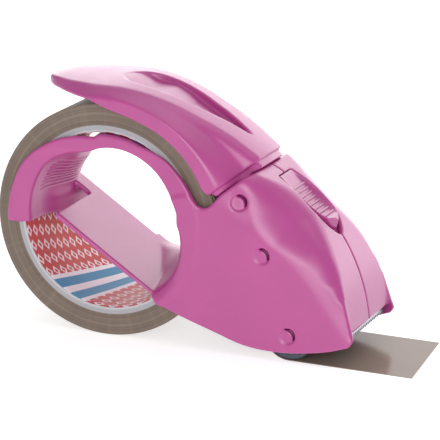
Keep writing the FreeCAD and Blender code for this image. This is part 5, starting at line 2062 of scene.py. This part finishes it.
@dataclass
class Hardware:
    """Screws, washers, tubes and both springs inside the casing."""

    finishes: Finishes
    casing: Casing
    seat: float = 25.0
    screw_radius: float = 1.5
    head_radius: float = 3.0
    head: float = 2.0
    screw_length: float = 30.0
    tube_bore: float = 4.0
    tube_radius: float = 5.0
    axle_half: float = 26.1
    pivot_half: float = 13.0
    washer_y: float = 25.45
    lever_coil: Coil = Coil(radius=4.9, pitch=1.4, turns=4.25, wire=0.45, leg=6.0)
    spring_radius: float = 64.5
    spring_span: Point = (38.6, 50.8)

    def screws(self) -> None:
        """Three pan-head screws with a cross recess, from the far side."""
        seat, top, head = self.seat, self.seat + self.head, self.head_radius
        rod = self.screw_radius
        profile = [(0.0, seat - self.screw_length), (rod * 0.4, seat - self.screw_length),
                   (rod * 0.9, seat - self.screw_length + 2.2)]
        for index in range(12):
            y = seat - self.screw_length + 2.8 + index * 1.4
            profile += [(rod * 0.86, y), (rod, y + 0.5), (rod, y + 0.7), (rod * 0.86, y + 1.2)]
        profile += [(rod, seat - 9.0), (rod, seat), (head, seat), (head, seat + 0.9),
                    (head - 0.25, seat + 1.45), (head - 1.0, seat + 1.85), (head - 1.9, top),
                    (0.0, top)]
        screw = turned("shell_screw", profile, 48)
        for angle in (0.0, math.pi / 2.0):
            cut = bpy.data.meshes.new("screw_recess")
            shape = bmesh.new()
            bmesh.ops.create_cube(shape, size=1.0)
            for corner in shape.verts:
                deep = corner.co.y < 0.0
                reach = 0.45 if deep else 1.5
                corner.co = Vector((corner.co.x * 2.0 * reach, top + (-1.1 if deep else 0.4),
                                    corner.co.z * (0.5 if deep else 0.75))) * MM
            bmesh.ops.rotate(shape, verts=shape.verts, cent=(0.0, 0.0, 0.0),
                             matrix=Matrix.Rotation(angle, 3, "Y"))
            shape.to_mesh(cut)
            shape.free()
            tool = stand("screw_recess", cut)
            check_outward(tool)
            step = screw.modifiers.new("recess", "BOOLEAN")
            step.operation, step.object, step.solver = "DIFFERENCE", tool, "EXACT"
            bake_modifiers(screw)
            bpy.data.objects.remove(tool)
        pattern = Pattern("shell_screw_set", Layout.PLACES, self.finishes.made["steel"])
        piece = pattern.copies(screw, [placed(x, 0.0, z) for x, z in BOSSES],
                               [(0.0, turn, 0.0) for turn in (0.3, 1.1, 0.7)])
        adopt(piece, "casing", "steel", "shell_screws")

    def washers(self) -> None:
        """Two washers beside the roller."""
        bore, rim, half = 5.1, 7.0, 0.3
        washer = turned("roller_washer", [
            (bore, -half + 0.1), (bore + 0.1, -half), (rim - 0.1, -half), (rim, -half + 0.1),
            (rim, half - 0.1), (rim - 0.1, half), (bore + 0.1, half), (bore, half - 0.1)], 64)
        pattern = Pattern("roller_washer_pair", Layout.PLACES,
                          self.finishes.made["inner_plastic"])
        x, z = BOSSES[2]
        piece = pattern.copies(washer, [placed(x, side * self.washer_y, z) for side in (-1, 1)],
                               [(0.0, 0.0, 0.0)] * 2)
        adopt(piece, "casing", "inner_plastic", "roller_washers")

    def tubes(self) -> None:
        """Steel tubes that the roller and the lever turn on."""
        bore, rim, soft = self.tube_bore, self.tube_radius, 0.2
        for name, node, (x, z), half in (
                ("roller_axle_tube", "roller_axle", BOSSES[2], self.axle_half),
                ("lever_pivot_sleeve", "lever_pivot_tube", BOSSES[0], self.pivot_half)):
            profile = [(bore, half - soft), (bore, -half + soft), (bore + soft, -half),
                       (rim - soft, -half), (rim, -half + soft), (rim, half - soft),
                       (rim - soft, half), (bore + soft, half)]
            piece = lathe(name, profile, x, z, steps=96)
            self.finishes.dress(piece, "steel")
            adopt(piece, "casing", "steel", node)

    def spring(self, name: str, node: str, coil: Coil, turn: Matrix, place: Vector) -> None:
        """One spring.

        Args:
            name: Name of the piece.
            node: CAD node that it replaces.
            coil: Size of the winding.
            turn: Turn of its axis from +Z.
            place: Where it starts, in millimetres about the roll's axis.
        """
        path = [placed(*(turn @ point + place)) for point in coil.points()]
        pattern = Pattern(name, Layout.WIRE, self.finishes.made["spring_steel"])
        piece = pattern.wire([path], coil.wire * MM, 12)
        adopt(piece, "casing", "spring_steel", node)

    def springs(self) -> None:
        """Torsion spring of the lever and push spring of the blade's carrier."""
        turn = Matrix.Rotation(math.radians(20.0), 3, "Y") @ Matrix.Rotation(
            math.radians(-90.0), 3, "X")
        x, z = BOSSES[0]
        self.spring("lever_torsion_spring", "lever_spring", self.lever_coil, turn,
                    Vector((x, 14.0, z)))
        nose, ends = self.casing, []
        for along in self.spring_span:
            angle = math.radians(nose.corner_angle) - along / nose.nose_radius
            ends.append(Vector((nose.nose[0] + self.spring_radius * math.cos(angle), 0.0,
                                nose.nose[1] + self.spring_radius * math.sin(angle))))
        axis = (ends[1] - ends[0]).normalized()
        wire, turns = 0.35, 6.0
        room = (ends[1] - ends[0]).length - 2.0 * (wire + 0.65)
        push = Coil(radius=2.6, pitch=room / turns, turns=turns, wire=wire, leg=0.7)
        turn = Vector((0.0, 0.0, 1.0)).rotation_difference(axis).to_matrix()
        self.spring("carrier_push_spring", "carrier_spring", push, turn, ends[0] + axis)

    def build(self) -> None:
        """Makes every piece of hardware."""
        self.screws()
        self.washers()
        self.tubes()
        self.springs()


# Studio


@dataclass
class Studio:
    """Pale floor, soft lights and the camera at the photograph's angle."""

    azimuth: float = 21.363
    elevation: float = 15.411
    tilt: float = 1.399
    focal: float = 2747.0
    distance: float = 1163.2
    aim: Point = (41.507, -0.866)
    frame_size: int = 440

    def camera(self) -> None:
        """Camera that looks at the aim point from the photograph's side."""
        turn, rise = math.radians(self.azimuth), math.radians(self.elevation)
        back = Vector((math.sin(turn) * math.cos(rise), -math.cos(turn) * math.cos(rise),
                       math.sin(rise)))
        lens = bpy.data.cameras.new("camera")
        lens.sensor_width = 36.0
        lens.lens = self.focal / self.frame_size * lens.sensor_width
        lens.clip_start, lens.clip_end = 0.05, 20.0
        eye = stand("camera", lens)
        right = Vector((math.cos(turn), math.sin(turn), 0.0))
        up = back.cross(right)
        angle = math.radians(self.tilt)
        side = right * math.cos(angle) + up * math.sin(angle)
        top = up * math.cos(angle) - right * math.sin(angle)
        rows = Matrix((side, top, back)).transposed()
        eye.matrix_world = Matrix.Translation(
            placed(self.aim[0], 0.0, self.aim[1]) + back * self.distance * MM) @ rows.to_4x4()
        bpy.context.scene.camera = eye

    def floor(self) -> None:
        """Wide pale floor."""
        mesh = bpy.data.meshes.new("floor")
        reach = 6.0
        mesh.from_pydata([(-reach, -reach, 0), (reach, -reach, 0), (reach, reach, 0),
                          (-reach, reach, 0)], [], [(0, 1, 2, 3)])
        piece = stand("floor", mesh)
        shader = Shader("floor_paper")
        shader.feed(shader.surface, {"Base Color": (0.72, 0.72, 0.72, 1.0), "Roughness": 0.9,
                                     "Emission Color": (1.0, 1.0, 1.0, 1.0),
                                     "Emission Strength": 0.62})
        mesh.materials.append(shader.material)

    def lamp(self, name: str, place: Spot, size: Point, power: float,
             aim: Spot = (0.0, 0.0, 0.05)) -> None:
        """Soft rectangular light.

        Args:
            name: Name of the light.
            place: Where it hangs, in metres.
            size: Its width and height in metres.
            power: Its power in watts.
            aim: Point that it faces, in metres.
        """
        light = bpy.data.lights.new(name, "AREA")
        light.shape = "RECTANGLE"
        light.size, light.size_y = size
        light.energy = power
        lamp = stand(name, light)
        lamp.location = place
        lamp.rotation_euler = (Vector(aim) - Vector(place)).to_track_quat("-Z", "Y").to_euler()

    def sky(self) -> None:
        """Even white surroundings."""
        world = bpy.data.worlds.new("tent")
        world.use_nodes = True
        background = world.node_tree.nodes["Background"]
        background.inputs["Color"].default_value = (1.0, 1.0, 1.0, 1.0)
        background.inputs["Strength"].default_value = 0.45
        bpy.context.scene.world = world

    def build(self) -> None:
        """Sets the whole studio up."""
        self.camera()
        self.floor()
        self.sky()
        self.lamp("backdrop", (0.25, 1.5, 0.62), (3.2, 1.3), 27.0)
        self.lamp("overhead", (0.15, 0.1, 0.9), (0.8, 0.7), 1.5)
        self.lamp("front", (0.28, -1.2, 0.42), (0.7, 0.55), 6.0)
        bpy.context.scene.view_settings.view_transform = "Standard"


def main() -> None:
    """Builds every piece in order, then dresses the nodes that stay."""
    logging.basicConfig(level=logging.INFO, format="%(message)s")
    finishes = Finishes()
    Studio().build()
    TapeRoll(finishes).build()
    casing = Casing(finishes)
    casing.build()
    PalmLever(finishes, casing).build()
    ThumbButton(finishes, casing).build()
    FreeFilm(finishes).build()
    FeedRoller(finishes).build()
    Cutter(finishes, casing).build()
    Hardware(finishes, casing).build()
    slots = {row["node"]: row["material_slot"] for row in frame["record"]["subparts"]}
    for name, node in frame["nodes"].items():
        if not node.hide_render:
            finishes.dress(node, slots[name])


if __name__ == "__main__":
    main()
